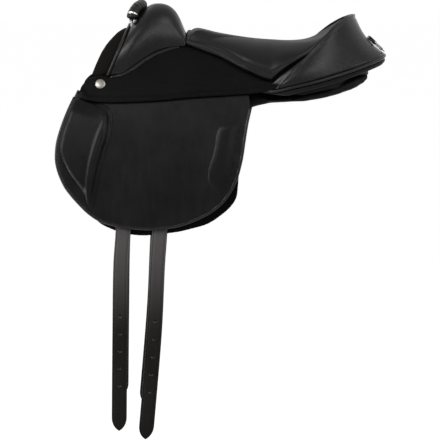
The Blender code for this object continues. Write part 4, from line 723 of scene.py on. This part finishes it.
def makeNail(name, side):
    plan = nailPlan
    shape = bmesh.new()
    profile = [(0.0, 0.0), (plan["radius"], 0.0), (plan["radius"], plan["rim"])]
    for k in range(1, 9):
        angle = 0.5 * math.pi * k / 8
        profile.append((plan["radius"] * plan["dome"] * math.cos(angle),
                        plan["rim"] + (plan["height"] - plan["rim"]) * math.sin(angle)))
    line = [shape.verts.new((r, 0.0, h)) for r, h in profile]
    for p, q in zip(line, line[1:]):
        shape.edges.new((p, q))
    bmesh.ops.spin(shape, geom=shape.verts[:] + shape.edges[:], cent=(0, 0, 0), axis=(0, 0, 1),
                   angle=2.0 * math.pi, steps=40, use_merge=True)
    x, z = plan["place"]
    spot = Vector((x, side * barrelY(x, z, -0.0002), z))
    turn = sideNormal(side)(spot).to_track_quat("Z", "Y").to_matrix().to_4x4()
    shape.transform(Matrix.Translation(spot) @ turn)
    finishPiece("nail_" + name, shape, metal["nail"], "skirt_nail_" + name)


weltPlan = {
    "upper": mm((-161.5, 42.5), (-159, 42.6), (-147, 46.6), (-135.1, 54.2), (-121.8, 64.6), (-108.5, 71.4),
        (-95.2, 76.8), (-77.9, 82.2), (-60, 85)),
    "lower": mm((-164.2, 38.1), (-149.6, 39.4), (-136.4, 44.6), (-121.8, 53.5), (-108.5, 62.6),
        (-95.2, 70.3), (-77.9, 76.9), (-60, 81.5)),
    "rise": 0.0014, "round": 0.003, "cell": 0.003, "rings": (0.0004, 0.0006, 0.0008), "off": 0.0004,
}


def makeWelt(name, side):  # strip sewn over the joint of pommel and skirt
    plan = weltPlan
    rim = Line(flat(plan["upper"]), flat(plan["lower"][::-1]))
    shape = cutOutline(plan, rim, 150)
    border = Near(rim.spread(500))
    place = onSide(side, plan["off"])

    def outer(p):
        t = min(1.0, border.far(p) / plan["round"])
        return place(p, plan["off"] + plan["rise"] * math.sqrt(1.0 - (1.0 - t) ** 2))

    thicken(shape, outer, place)
    finishPiece("pommel_welt_" + name, shape, leather["smooth"])


for name, side in sides:
    makeSkirt(name, side)
    makeWelt(name, side)
    makeNail(name, side)
print("skirts made")


# seat

seatPlan = {
    "centre": 0.065, "leather": 0.0024, "roll": 0.0042, "rollIn": 0.0062, "rollWidth": 0.0044,
    "channel": 0.0014, "channelIn": 0.0145, "channelWidth": 0.0034,
    "front": mm((-47.8, 0, 100), (-48.5, 30, 95.5), (-50, 56.5, 86)),
    "side": mm((-50, 56.5, 86), (-27, 65, 77.5), (-1, 73, 67.5), (26, 82.5, 52.5), (38, 87, 47),
        (58, 92, 38.2), (71.5, 94.5, 34.5)),
    "rear": mm((71.5, 94.5, 34.5), (84, 93, 47), (103, 90, 60), (128, 83.5, 75), (153, 69.5, 96.8),
        (174, 45.5, 114.5), (189, 20, 123.8), (194.5, 0, 125.5)),
    "crest": mm((-55, 104.5), (-46.5, 109.5), (-40, 111.5), (-33, 111), (-22, 107.5), (-6, 102.8),
        (12, 99.3), (42, 94.8), (72, 92), (98, 90), (118, 89.3), (136, 89.2), (153, 91.5), (172, 100.5),
        (194.5, 125.5)),
    "roundPower": 2.3, "frontPower": 8.0, "frontEnd": -0.03, "frontLength": 0.018, "dishPower": 4.5,
    "calm": 26, "calmAt": (0.3, 0.92), "rearAt": (0.085, 0.15), "thin": 0.55, "thinAt": (0.066, 0.084),
    "small": 0.35, "smallAt": (-0.02, -0.048), "fine": 0.0035, "finer": 0.07,
    "wallIn": 0.005, "wallThick": 0.002, "wallTop": 0.001, "wallHeight": 0.014, "fill": 0.85,
}


def seatEdgeLine():
    half = Line(seatPlan["front"], seatPlan["side"], seatPlan["rear"])
    near = [Vector((p.x, -p.y, p.z)) for p in half.spread(160)]
    far = [Vector((p.x, -p.y, p.z)) for p in reversed(near[1:-1])]
    return near + far


def seatSpot(p, share):  # the seat's round without its roll
    plan = seatPlan
    centre = Vector((plan["centre"], 0.0, 0.0))
    spot = centre + (Vector((p.x, p.y, 0.0)) - centre) * share
    front = min(1.0, max(0.0, (plan["frontEnd"] - p.x) / plan["frontLength"]))
    power = plan["roundPower"] + (plan["frontPower"] - plan["roundPower"]) * front
    rear = ease(*plan["rearAt"], p.x)
    drop = 1.0 - math.sqrt(max(0.0, 1.0 - share ** power))
    drop = drop * (1.0 - rear) + share ** plan["dishPower"] * rear
    crest = heightAt(plan["crest"], spot.x)
    spot.z = crest + (p.z - crest) * drop
    return spot


def seatColumn(p, calm, shares):  # one run from the seat's middle to its edge, with the roll and its channel
    plan = seatPlan
    run = [seatSpot(calm.lerp(p, ease(*plan["calmAt"], share)), share) for share in shares]
    out = (Vector((p.x - plan["centre"], p.y, 0.0))).normalized()
    size = 1.0 - plan["thin"] * ease(*plan["thinAt"], p.x)
    size *= 1.0 - plan["small"] * ease(*plan["smallAt"], p.x)
    reach, result, last = 0.0, [], len(run) - 1
    for k in range(last, -1, -1):
        if k < last:
            reach += (run[k + 1] - run[k]).length
        step = run[min(k + 1, last)] - run[max(k - 1, 0)]
        normal = (up(1.0) * step.dot(out) - out * step.z).normalized()
        rise = plan["roll"] * size * bump(reach - plan["rollIn"] * size, plan["rollWidth"] * size)
        rise -= plan["channel"] * size * bump(reach - plan["channelIn"] * size, plan["channelWidth"] * size)
        result.append(run[k] + normal * rise)
    return result[::-1]


def makeSeat():
    plan, edge = seatPlan, seatEdgeLine()
    count, reach = len(edge), plan["calm"]
    shares = [k * 0.05 for k in range(13)]
    while shares[-1] < 1.0:
        shares.append(min(1.0, shares[-1] + max(plan["fine"], (1.0 - shares[-1]) * plan["finer"])))
    calms = [sum((edge[(i + k) % count] for k in range(-reach, reach + 1)), Vector()) / (2 * reach + 1)
             for i in range(count)]
    shape = runShape([seatColumn(p, calm, shares) for p, calm in zip(edge, calms)], closed=True)
    seat = finishPiece("seat", shape, leather["seat"], "seat_cover")
    walled(seat, plan["leather"])


def makeSeatWall():  # leather wall under the seat's edge
    plan = seatPlan
    centre = Vector((plan["centre"], 0.0, 0.0))
    loops = []
    for p in seatEdgeLine():
        inward = (centre - Vector((p.x, p.y, 0.0))).normalized()
        top, low = p.z - plan["wallTop"], p.z - plan["wallHeight"]
        near, far = (p + inward * (plan["wallIn"] + thick) for thick in (0.0, plan["wallThick"]))
        loops.append([Vector((q.x, q.y, z)) for q, z in ((near, top), (near, low), (far, low), (far, top))])
    finishPiece("seat_edge_wall", runShape(loops, closed=True, ring=True), leather["under"], corner=50)


makeSeat()
makeSeatWall()
print("seat made")


# cantle

cantlePlan = {
    "rim": mm((83.5, 98.5, 26.5), (91, 98.5, 35), (105, 96.5, 50.8), (120, 91.5, 67.5), (134, 86.6, 81.2),
        (158, 73.5, 103.2), (179, 50.8, 119.5), (194.5, 23.5, 127.5), (201, 0, 128.8)),
    "foot": mm((77.5, 100, 22.5), (105, 103, 29), (142, 98.5, 37.5), (180, 85.5, 48), (212, 64, 58),
        (235.5, 36.5, 65.5), (244, 16.5, 69.5), (246.6, 0, 70.8)),
    "start": (0.058, 0.0925, 0.0225), "leather": 0.0024, "full": 0.004, "hollow": -0.0068,
    "piping": 0.0024, "bandHeight": 0.0075, "bandWidth": 0.016,
    "tuck": 0.005, "ridge": 0.0009, "ridgeWidth": 0.0024, "groove": 0.0008, "grooveIn": 0.0048,
    "grooveWidth": 0.0013, "rows": 26, "innerRows": 6, "innerRound": 0.0016, "seam": 0.0003,
    "gussetStart": 0.1, "gussetIn": 0.006, "gussetRearIn": 0.024, "gussetHeight": 0.005,
    "gussetRearHeight": 0.017, "gussetThick": 0.003, "gussetLap": 0.0015, "gussetDeepAt": (0.125, 0.235),
    "gussetTallAt": (0.1, 0.12), "crowd": 1.7, "lean": 0.7, "leanUp": 0.05, "fill": 0.8,
    "bandAt": (0.068, 0.1), "bandLeast": 0.1, "middle": 0.1,
}


def cantleLines(count):
    foot = Line(cantlePlan["foot"]).spread(count)
    seam = Line(cantlePlan["rim"]).spread(count)
    seat = Line(seatPlan["rear"]).spread(count)
    under = up(cantlePlan["tuck"])
    inner = [q - under for q in seat]
    return mirrorLine(foot), mirrorLine(seam), mirrorLine(inner)


def makeCantle():
    plan = cantlePlan
    rows, more = plan["rows"], plan["innerRows"]
    runs = []
    for p, q, r in zip(*cantleLines(70)):
        sideShare = min(1.0, abs(p.y) / plan["foot"][1][1])
        full = plan["hollow"] + (plan["full"] - plan["hollow"]) * sideShare
        away = Vector((p.x - q.x, p.y - q.y * plan["lean"], plan["leanUp"])).normalized()
        run = []
        for k in range(rows + 1):
            share = 1.0 - (1.0 - k / rows) ** plan["crowd"]
            inside = (1.0 - share) * (q - p).length
            spot = p.lerp(q, share) + away * full * math.sin(math.pi * share)
            spot += away * plan["ridge"] * bump(inside, plan["ridgeWidth"])
            spot -= away * plan["groove"] * bump(inside - plan["grooveIn"], plan["grooveWidth"])
            run.append(spot)
        for k in range(1, more + 1):
            run.append(q.lerp(r, k / more) + up(plan["innerRound"] * math.sin(math.pi * k / more)))
        runs.append(run)
    cantle = finishPiece("cantle", runShape(runs), leather["smooth"], "cantle_cover")
    walled(cantle, plan["leather"])


def footPath(count, out=0.0, lift=0.0):
    path = mirrorLine(Line((cantlePlan["start"], *cantlePlan["foot"])).spread(count))
    result = []
    last = len(path) - 1
    for i, p in enumerate(path):
        step = path[min(i + 1, last)] - path[max(i - 1, 0)]
        away = Vector((-step.y, step.x, 0.0)).normalized()
        if away.dot(Vector((p.x - cantlePlan["middle"], p.y, 0.0))) < 0.0:
            away = -away
        result.append(p + away * out + up(lift))
    return result


def makeRearTrim():
    plan = cantlePlan
    radius, wide = plan["piping"], plan["bandWidth"]
    tube = tubeShape(footPath(110, 0.0, -(radius + plan["seam"])), radius, 14)
    finishPiece("rear_piping_leather", tube, leather["smooth"], "rear_piping")
    top = -(2 * radius + 2 * plan["seam"])
    low = top - plan["bandHeight"]
    profile = [(-wide, top), (-0.002, top), (-0.0004, top - 0.0006), (0.0006, top - 0.0022),
               (0.001, (top + low) / 2), (0.0006, low + 0.0022), (-0.0006, low + 0.0006),
               (-0.0022, low), (-wide, low)]
    paths = [footPath(110, out, lift) for out, lift in profile]
    heights = tuple((q[0], q[2]) for q in (plan["start"], *plan["foot"]))
    for path in paths:
        for p in path:
            grown = plan["bandLeast"] + (1.0 - plan["bandLeast"]) * ease(*plan["bandAt"], p.x)
            foot = heightAt(heights, p.x)
            p.z = foot + top + (p.z - foot - top) * grown
    shape = runShape(list(zip(*paths)), ring=True)
    finishPiece("rear_band_leather", shape, leather["dull"], "rear_band")


def makeGusset():  # leather wall that joins the band to the panels' rear ends
    plan = cantlePlan
    low = -(2 * plan["piping"] + 2 * plan["seam"] + plan["bandHeight"])
    spots = []
    for p, q in zip(footPath(110), footPath(110, 1.0)):
        if p.x < plan["gussetStart"]:
            continue
        grown = ease(*plan["gussetDeepAt"], p.x)
        deep = plan["gussetIn"] + (plan["gussetRearIn"] - plan["gussetIn"]) * grown
        tall = plan["gussetHeight"] + (plan["gussetRearHeight"] - plan["gussetHeight"]) * grown
        down = up(-tall * ease(*plan["gussetTallAt"], p.x) - plan["gussetLap"])
        wall = p - (q - p) * deep + up(low + plan["gussetLap"])
        inside = (p - q) * plan["gussetThick"]
        spots.append((wall, wall + down / 2, wall + down, wall + down + inside, wall + inside))
    finishPiece("rear_gusset_leather", runShape(spots, ring=True), leather["dull"], corner=50)


makeCantle()
makeRearTrim()
makeGusset()
print("cantle made")


# pommel

pommelPlan = {
    "lower": mm((-163.5, 42.5), (-144, 45), (-130, 53.5), (-112, 66), (-92, 77.2), (-74, 82.5), (-52.5, 84)),
    "crown": mm((-131.5, 115), (-123, 125), (-111, 136.8), (-100, 142.8), (-89.5, 144.2), (-79.5, 143),
        (-71.2, 139), (-64.5, 132.5), (-59.2, 123.2), (-55, 112.5), (-50.5, 101.5)),
    "leather": 0.003, "full": 2.45, "proud": 0.0012, "valley": 0.01, "valleyWidth": 0.017,
    "valleyPlace": 0.75, "valleyRise": 0.4, "shoulder": 0.0012, "shoulderOut": 0.0235,
    "shoulderWidth": 0.006, "shoulderSpan": 1.2, "piping": 0.0024, "pipingAhead": (0.0028, 0.0008),
    "frontSteps": 90, "fill": 0.85,
}
liningPlan = {
    "front": mm((-190, 61, 42), (-182.5, 59, 60), (-172, 53, 80.5), (-156, 40, 98.5), (-146, 22, 105.5),
        (-143, 0, 106.5)),
    "tuck": 0.0086, "thick": 0.006, "centre": 0.04, "around": 20, "fill": 0.7,
}


def pommelPlace(t, angle, lowLine, crownLine):
    plan = pommelPlan
    low, top = lowLine.at(t), crownLine.at(t)
    power = 2.0 / plan["full"]
    half = barrelY(low.x, low.y, -plan["proud"])
    valley = plan["valley"] * math.sin(math.pi * t ** plan["valleyPlace"])
    rise = max(0.0, math.cos(angle)) ** power
    y = half * math.copysign(abs(math.sin(angle)) ** power, math.sin(angle))
    z = low.y + (top.y - low.y) * rise
    z += (plan["valleyRise"] - bump(y, plan["valleyWidth"])) * valley * rise
    arch = math.sin(math.pi * min(1.0, t * plan["shoulderSpan"]))
    z += plan["shoulder"] * arch * bump(abs(y) - plan["shoulderOut"], plan["shoulderWidth"])
    return Vector((low.x + (top.x - low.x) * rise, y, z))


def makePommel():
    plan = pommelPlan
    lowLine, crownLine = (Line([(*p, 0.0) for p in plan[part]]) for part in ("lower", "crown"))
    shape = gridShape(110, 46, lambda u, v: pommelPlace(v, math.pi * (u - 0.5), lowLine, crownLine))
    pommel = finishPiece("pommel", shape, leather["smooth"], "pommel_cover")
    walled(pommel, plan["leather"])
    steps, (ahead, below) = plan["frontSteps"], plan["pipingAhead"]
    front = [pommelPlace(0.0, math.pi * (k / steps - 0.5), lowLine, crownLine) for k in range(steps + 1)]
    tube = tubeShape([p - Vector((ahead, 0.0, below)) for p in front], plan["piping"], 14)
    finishPiece("pommel_piping_leather", tube, leather["smooth"], "pommel_piping")
    return front


def makeLining(front):
    plan = liningPlan
    near = mirrorLine(Line(plan["front"]).spread(46))
    loops = []
    last = len(near) - 1
    for i, p in enumerate(near):
        edge = front[int(round((len(front) - 1) * i / last))]
        inward = Vector((0.0, edge.y, edge.z - plan["centre"])).normalized()
        back = edge - inward * plan["tuck"]
        middle, reach = (p + back) / 2, (p - back) / 2
        step = near[min(i + 1, last)] - near[max(i - 1, 0)]
        normal = reach.cross(step).normalized() * plan["thick"] / 2
        loops.append([middle + reach * math.cos(a) + normal * math.sin(a)
                      for a in (2.0 * math.pi * k / plan["around"] for k in range(plan["around"]))])
    shape = runShape(loops, ring=True)
    lining = finishPiece("front_lining_pad", shape, leather["lining"], "front_lining")


makeLining(makePommel())
print("pommel made")


# girth billets, sweat flaps and panels

billetPlan = {
    "width": 0.022, "leather": 0.0038, "depth": 0.0088, "pivotDown": 0.014, "tip": 0.02,
    "hole": 0.0025, "holes": 5, "rim": 0.001, "creaseIn": 0.0026, "creaseDeep": 0.0005,
    "creaseWidth": 0.0006, "least": 0.0006, "cutter": (0.01, 0.03), "rows": 70,
    "tipShape": (2.2, 0.72, 0.06), "tipRows": (0.12, 0.25, 0.38, 0.5, 0.62, 0.74, 0.84, 0.92, 0.97, 1.0),
    "cross": (-1.0, -0.985, -0.94, -0.87, -0.8, -0.76, -0.72, -0.66, -0.4, 0.0, 0.4, 0.66, 0.72, 0.76, 0.8,
              0.87, 0.94, 0.985, 1.0),
    "front": {"line": mm((10, -148.5), (-80, -145.5), (-170, -144), (-230, -148), (-330, -150),
        (-474.5, -152)), "first": -0.3045, "pitch": 0.0256},
    "rear": {"line": mm((12, -100.5), (-80, -94), (-170, -91.2), (-230, -95), (-330, -100),
        (-487.5, -113.5)), "first": -0.312, "pitch": 0.0262},
}


def makeBillet(end, name, side):
    plan, own = billetPlan, billetPlan[end]
    table = tuple((-z, x) for z, x in own["line"])
    half = plan["width"] / 2
    pivot = fromLine(own["line"][0][1], plan["pivotDown"]).y
    tipZ = own["line"][-1][0]
    bodyEnd = tipZ + plan["tip"]
    rows = [(pivot + half * math.sin(a), max(half * math.cos(a), plan["least"]))
            for a in (0.5 * math.pi * (1.0 - k / 8) for k in range(9))]
    rows += [(pivot + (bodyEnd - pivot) * k / plan["rows"], half) for k in range(1, plan["rows"] + 1)]
    blunt, taper, least = plan["tipShape"]
    rows += [(bodyEnd - plan["tip"] * t, half * max(least, (1.0 - t ** blunt) ** taper))
             for t in plan["tipRows"]]

    def lift(p):
        reach = min(rows, key=lambda row: abs(row[0] - p.z))[1]
        inside = max(0.0, reach - abs(p.x - heightAt(table, -p.z)))
        crease = plan["creaseDeep"] * bump(inside - plan["creaseIn"], plan["creaseWidth"])
        return -rimRound(inside, plan["rim"]) - crease

    shape = runShape([[Vector((heightAt(table, -z) + reach * share, 0.0, z)) for z, reach in rows]
                      for share in plan["cross"]])
    top = onSide(side, plan["depth"])
    under = onSide(side, plan["depth"] + plan["leather"])
    thicken(shape, lambda p: top(p, lift(p)), lambda p: under(p, -lift(p) * 0.5))
    title = "billet_%s_%s" % (end, name)
    strap = finishPiece(title + "_strap", shape, leather["billet"], title, title)
    punch = bmesh.new()
    middle, length = plan["cutter"]
    for k in range(plan["holes"]):
        z = own["first"] - own["pitch"] * k
        x = heightAt(table, -z)
        turn = Matrix.Translation((x, side * barrelY(x, z, middle), z)) @ Matrix.Rotation(math.pi / 2, 4, "X")
        bmesh.ops.create_cone(punch, cap_ends=True, segments=20, radius1=plan["hole"], radius2=plan["hole"],
                              depth=length, matrix=turn)
    cutter = added("punch", meshOf("punch", punch))
    cut = strap.modifiers.new("holes", "BOOLEAN")
    cut.operation = "DIFFERENCE"
    cut.solver = "EXACT"
    cut.object = cutter
    bpy.context.view_layer.update()
    strap.data = baked(strap)
    strap.modifiers.clear()
    bpy.data.objects.remove(cutter)
    strap.data.set_sharp_from_angle(angle=math.radians(50))


sweatPlan = {
    "depth": 0.0136, "leather": 0.004, "top": 0.024, "front": -0.2025, "rear": 0.03, "cell": 0.006,
    "rim": 0.0014, "creaseIn": 0.005, "creaseDeep": 0.0005, "creaseWidth": 0.0008,
    "rings": (0.0006, 0.001, 0.002, 0.0014, 0.0014),
    "edge": mm((-209, 0), (-220, -20), (-231, -50), (-234.5, -72), (-230, -98), (-214.5, -128),
        (-194, -152.5), (-177.9, -169), (-166.3, -175.5), (-153.4, -180.8), (-140.4, -184.6), (-123, -187),
        (-105.7, -187), (-79.6, -184.3), (-62.2, -181.8), (-44.8, -177.6), (-27.4, -172.9), (-15.8, -167.4),
        (-4.2, -159.4), (7.4, -150), (16.1, -139.6), (20.2, -130.5), (21.7, -118.9), (22.7, -107.4),
        (23.5, -94), (24, -80), (27, -50), (32, -20)),
}


def makeSweatFlap(name, side):
    plan = sweatPlan
    head = [fromLine(plan[end], plan["top"]) for end in ("front", "rear")]
    whole = Line([head[0], *[Vector(p) for p in plan["edge"]], head[1]]).spread(170)
    start, down = fromLine(0.0, plan["top"]), Vector((math.sin(barrel["rise"]), -math.cos(barrel["rise"])))
    level = [p for p in whole if (p - start).dot(down) > -0.0001]
    shape = cutPattern([tuple(p) for p in level], plan["cell"], plan["rings"])
    border = Near(flat(level))
    place, under = onSide(side, plan["depth"]), onSide(side, plan["depth"] + plan["leather"])

    def fall(p):
        d = border.far(p)
        return rimRound(d, plan["rim"]) + plan["creaseDeep"] * bump(d - plan["creaseIn"], plan["creaseWidth"])

    thicken(shape, lambda p: place(p, -fall(p)), lambda p: under(p, fall(p)))
    node = "sweat_flap_" + name
    finishPiece(node + "_leather", shape, leather["under"], node)


for name, side in sides:
    makeSweatFlap(name, side)
    for end in ("front", "rear"):
        makeBillet(end, name, side)
print("billets and sweat flaps made")


def softCopy(node, name, material, levels=1):  # a CAD form, merged and made smooth
    shape = bmesh.new()
    shape.from_mesh(nodes[node].data)
    bmesh.ops.remove_doubles(shape, verts=shape.verts, dist=1e-5)
    bmesh.ops.join_triangles(shape, faces=shape.faces, angle_face_threshold=math.radians(50),
                             angle_shape_threshold=math.radians(70))
    return subdivided(finishPiece(name, shape, material, node), levels)


panelPlan = {"voxel": 0.005, "pressure": 4.0, "frames": 20, "cap": 0.003, "pinned": 0.15, "above": 0.35,
             "fill": 0.8, "foamFill": 0.9}


def stuffed(piece):  # the free side swells under pressure, the pinned side stays on the tree
    plan = panelPlan
    piece.modifiers.clear()
    grid = piece.modifiers.new("grid", "REMESH")
    grid.mode = "VOXEL"
    grid.voxel_size = plan["voxel"]
    grid.use_smooth_shade = True
    mesh = baked(piece)
    piece.modifiers.clear()
    piece.data = mesh
    pins = piece.vertex_groups.new(name="pins")
    pins.add([v.index for v in mesh.vertices
              if v.normal.dot(Vector((0.0, v.co.y, v.co.z + plan["above"])).normalized()) > plan["pinned"]],
             1.0, "REPLACE")
    cloth = piece.modifiers.new("stuffing", "CLOTH")
    cloth.settings.vertex_group_mass = "pins"
    cloth.settings.use_pressure = True
    cloth.settings.uniform_pressure_force = plan["pressure"]
    cloth.settings.effector_weights.gravity = 0.0
    cloth.point_cache.frame_start, cloth.point_cache.frame_end = 1, plan["frames"]
    scene = bpy.context.scene
    for step in range(1, plan["frames"] + 1):
        scene.frame_set(step)
        bpy.context.view_layer.update()
    puffed = piece.evaluated_get(bpy.context.evaluated_depsgraph_get()).to_mesh()
    moved = [v.co.copy() for v in puffed.vertices]
    piece.modifiers.clear()
    scene.frame_set(1)
    for vertex, spot in zip(mesh.vertices, moved):
        step = spot - vertex.co
        vertex.co += step * min(1.0, plan["cap"] / max(step.length, 1e-9))
    subdivided(piece, 1)


for name, side in sides:
    panel = softCopy("panel_" + name, "panel_" + name + "_cushion", leather["dull"], 2)
    stuffed(panel)
softCopy("seat_foam", "seat_foam_block", foamGrey)
for node in ("girth_web_rear", "point_web_near", "point_web_far"):
    softCopy(node, node + "_strap", webbing)
print("panels and foam made")


# grab handle

handlePlan = {
    "line": mm((-130.6, 39.6, 122.8), (-129.2, 37.4, 129), (-123.8, 28, 137.6), (-118.4, 14.5, 141.4),
        (-117, 0, 142.4)),
    "radius": 0.009, "thin": 0.95, "cap": 0.0035, "capShare": 0.35, "twist": 0.00035, "turn": 0.0066,
    "twistFrom": (0.004, 0.012), "crease": -0.0004, "creaseWidth": 0.12, "ringIn": 0.0058,
    "ringHalf": 0.0008, "ringShare": (0.98, 0.06), "around": 36, "creaseTurn": 0.6, "least": 0.0002,
}


def makeHandle():
    plan = handlePlan
    points = Line(mirrorLine(plan["line"])).spread(150)
    line = Line(points, perSpan=1)
    length, radius, around = line.length, plan["radius"], plan["around"]
    low, swell = plan["ringShare"]

    def size(t, angle):
        end = min(t, 1.0 - t) * length
        cap = math.sqrt(max(0.0, 1.0 - max(0.0, 1.0 - end / plan["cap"]) ** 2))
        wave = plan["twist"] * math.sin(2 * angle + t * length / plan["turn"] * 2 * math.pi)
        wave += plan["crease"] * bump(math.sin(angle / 2 + plan["creaseTurn"]), plan["creaseWidth"])
        full = radius * plan["thin"] + wave * ease(*plan["twistFrom"], end)
        return max(plan["least"], full * (plan["capShare"] + (1.0 - plan["capShare"]) * cap))

    shape = tubeShape(points, radius, around, size)
    finishPiece("handle_roll", shape, leather["grip"], "handle_grip", "handle")
    start = plan["ringIn"] / length
    for name, place in (("near", start), ("far", 1.0 - start)):
        ring = [line.at(place + plan["ringHalf"] * k / 4 / length) for k in range(-4, 5)]
        tube = tubeShape(ring, radius, around,
                         lambda t, angle: radius * (low + swell * math.sin(math.pi * t)))
        finishPiece("handle_ring_" + name, tube, metal["nickel"], body="handle")


makeHandle()
print("handle made")


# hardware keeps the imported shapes

def dress(material, *names):
    for name in names:
        nodes[name].data.materials.clear()
        nodes[name].data.materials.append(material)


dress(treePlastic, "tree")
dress(metal["darkSteel"], "head_plate")
for name, side in sides:
    dress(metal["steel"], "stirrup_bar_" + name, "catch_pin_" + name)
    dress(metal["darkSteel"], "bar_catch_" + name, "bar_rivet_front_" + name, "bar_rivet_rear_" + name)
    dress(metal["nickel"], "handle_staple_" + name)
    dress(leather["grip"], "handle_loop_" + name)
dress(metal["nickel"], "crupper_dee")
dress(leather["strap"], "crupper_chape")


# floor, light and camera

studio = {
    "floor": -1.25, "floorSize": 60.0,
    "lamps": (("key", (-1.75, -1.4, 1.5), (-0.05, 0.0, 0.0), 1.3, 1.1, 48.0),
              ("high", (-1.15, -1.8, 1.55), (-0.08, 0.0, 0.06), 0.8, 0.6, 17.0),
              ("left", (-2.3, -0.75, 0.5), (-0.1, 0.0, 0.0), 0.6, 1.0, 28.0),
              ("leftLow", (-2.0, -0.75, -0.75), (-0.1, 0.0, -0.1), 0.5, 0.6, 24.0),
              ("right", (1.45, -1.25, 2.05), (0.05, 0.0, 0.0), 0.9, 0.8, 18.0),
              ("rightLow", (1.25, -1.95, 1.1), (0.1, 0.0, 0.0), 0.7, 0.7, 16.0),
              ("side", (2.3, -0.5, 0.5), (0.1, 0.0, 0.0), 0.7, 1.0, 8.0),
              ("front", (-0.1, -2.65, -0.46), (0.0, 0.0, -0.3), 1.5, 0.5, 1.2),
              ("behind", (0.2, 1.9, 1.5), (0.0, 0.0, 0.05), 2.8, 0.9, 3.0)),
    "world": 0.04, "floorGrey": (0.62, 0.62, 0.62, 1.0), "floorGlow": 0.97, "white": (1.0, 1.0, 1.0, 1.0),
    "camera": {"azimuth": -2.0, "elevation": 7.0, "distance": 3.0, "target": (0.0, 0.0, -0.18),
               "lens": 162.55, "sensor": 36.0, "clip": 200.0},
}


def seenRays(tree):  # 1 on the rays that see the white background: camera, glossy and transmission
    paths = tree.nodes.new("ShaderNodeLightPath")
    total = paths.outputs["Is Camera Ray"]
    for kind in ("Is Glossy Ray", "Is Transmission Ray"):
        item = tree.nodes.new("ShaderNodeMath")
        item.operation = "ADD"
        item.use_clamp = True
        tree.links.new(total, item.inputs[0])
        tree.links.new(paths.outputs[kind], item.inputs[1])
        total = item.outputs[0]
    return total


def makeStudio():
    shape = bmesh.new()
    bmesh.ops.create_grid(shape, x_segments=2, y_segments=2, size=studio["floorSize"])
    mesh = meshOf("floor", shape)
    paint = Paint("floorWhite")
    paint.tree.nodes.remove(paint.shader)
    path = seenRays(paint.tree)
    soft = paint.node("ShaderNodeBsdfDiffuse", inputs={"Color": studio["floorGrey"]}, output="BSDF")
    light = {"Color": studio["white"], "Strength": studio["floorGlow"]}
    glow = paint.node("ShaderNodeEmission", inputs=light, output="Emission")
    both = paint.node("ShaderNodeAddShader", inputs={0: soft, 1: glow})
    mix = paint.node("ShaderNodeMixShader", inputs={0: Wire(paint, path), 1: soft, 2: both})
    paint.tree.links.new(mix.socket, paint.tree.nodes["Material Output"].inputs["Surface"])
    mesh.materials.append(paint.material)
    floor = added("floor", mesh)
    floor.location = (0.0, 0.0, studio["floor"])
    for name, place, aim, wide, high, power in studio["lamps"]:
        lamp = bpy.data.lights.new(name, "AREA")
        lamp.shape = "RECTANGLE"
        lamp.size, lamp.size_y, lamp.energy = wide, high, power
        item = added(name, lamp)
        item.location = place
        item.rotation_euler = (Vector(place) - Vector(aim)).to_track_quat("Z", "Y").to_euler()
    world = bpy.data.worlds.new("studio")
    world.use_nodes = True
    bpy.context.scene.world = world
    tree = world.node_tree
    back = tree.nodes["Background"]
    back.inputs["Color"].default_value = studio["white"]
    scale = tree.nodes.new("ShaderNodeMath")
    scale.operation = "MULTIPLY_ADD"
    tree.links.new(seenRays(tree), scale.inputs[0])
    scale.inputs[1].default_value = 1.0 - studio["world"]
    scale.inputs[2].default_value = studio["world"]
    tree.links.new(scale.outputs[0], back.inputs["Strength"])


def makeCamera():
    plan = studio["camera"]
    a, e = math.radians(plan["azimuth"]), math.radians(plan["elevation"])
    target = Vector(plan["target"])
    away = Vector((math.sin(a) * math.cos(e), -math.cos(a) * math.cos(e), math.sin(e)))
    data = bpy.data.cameras.new("camera")
    data.lens = plan["lens"]
    data.sensor_width = plan["sensor"]
    data.clip_end = plan["clip"]
    camera = added("camera", data)
    camera.location = target + away * plan["distance"]
    camera.rotation_euler = away.to_track_quat("Z", "Y").to_euler()
    bpy.context.scene.camera = camera


makeStudio()
makeCamera()
bpy.context.scene.view_settings.view_transform = "Standard"
print("studio made")

bpy.context.view_layer.update()
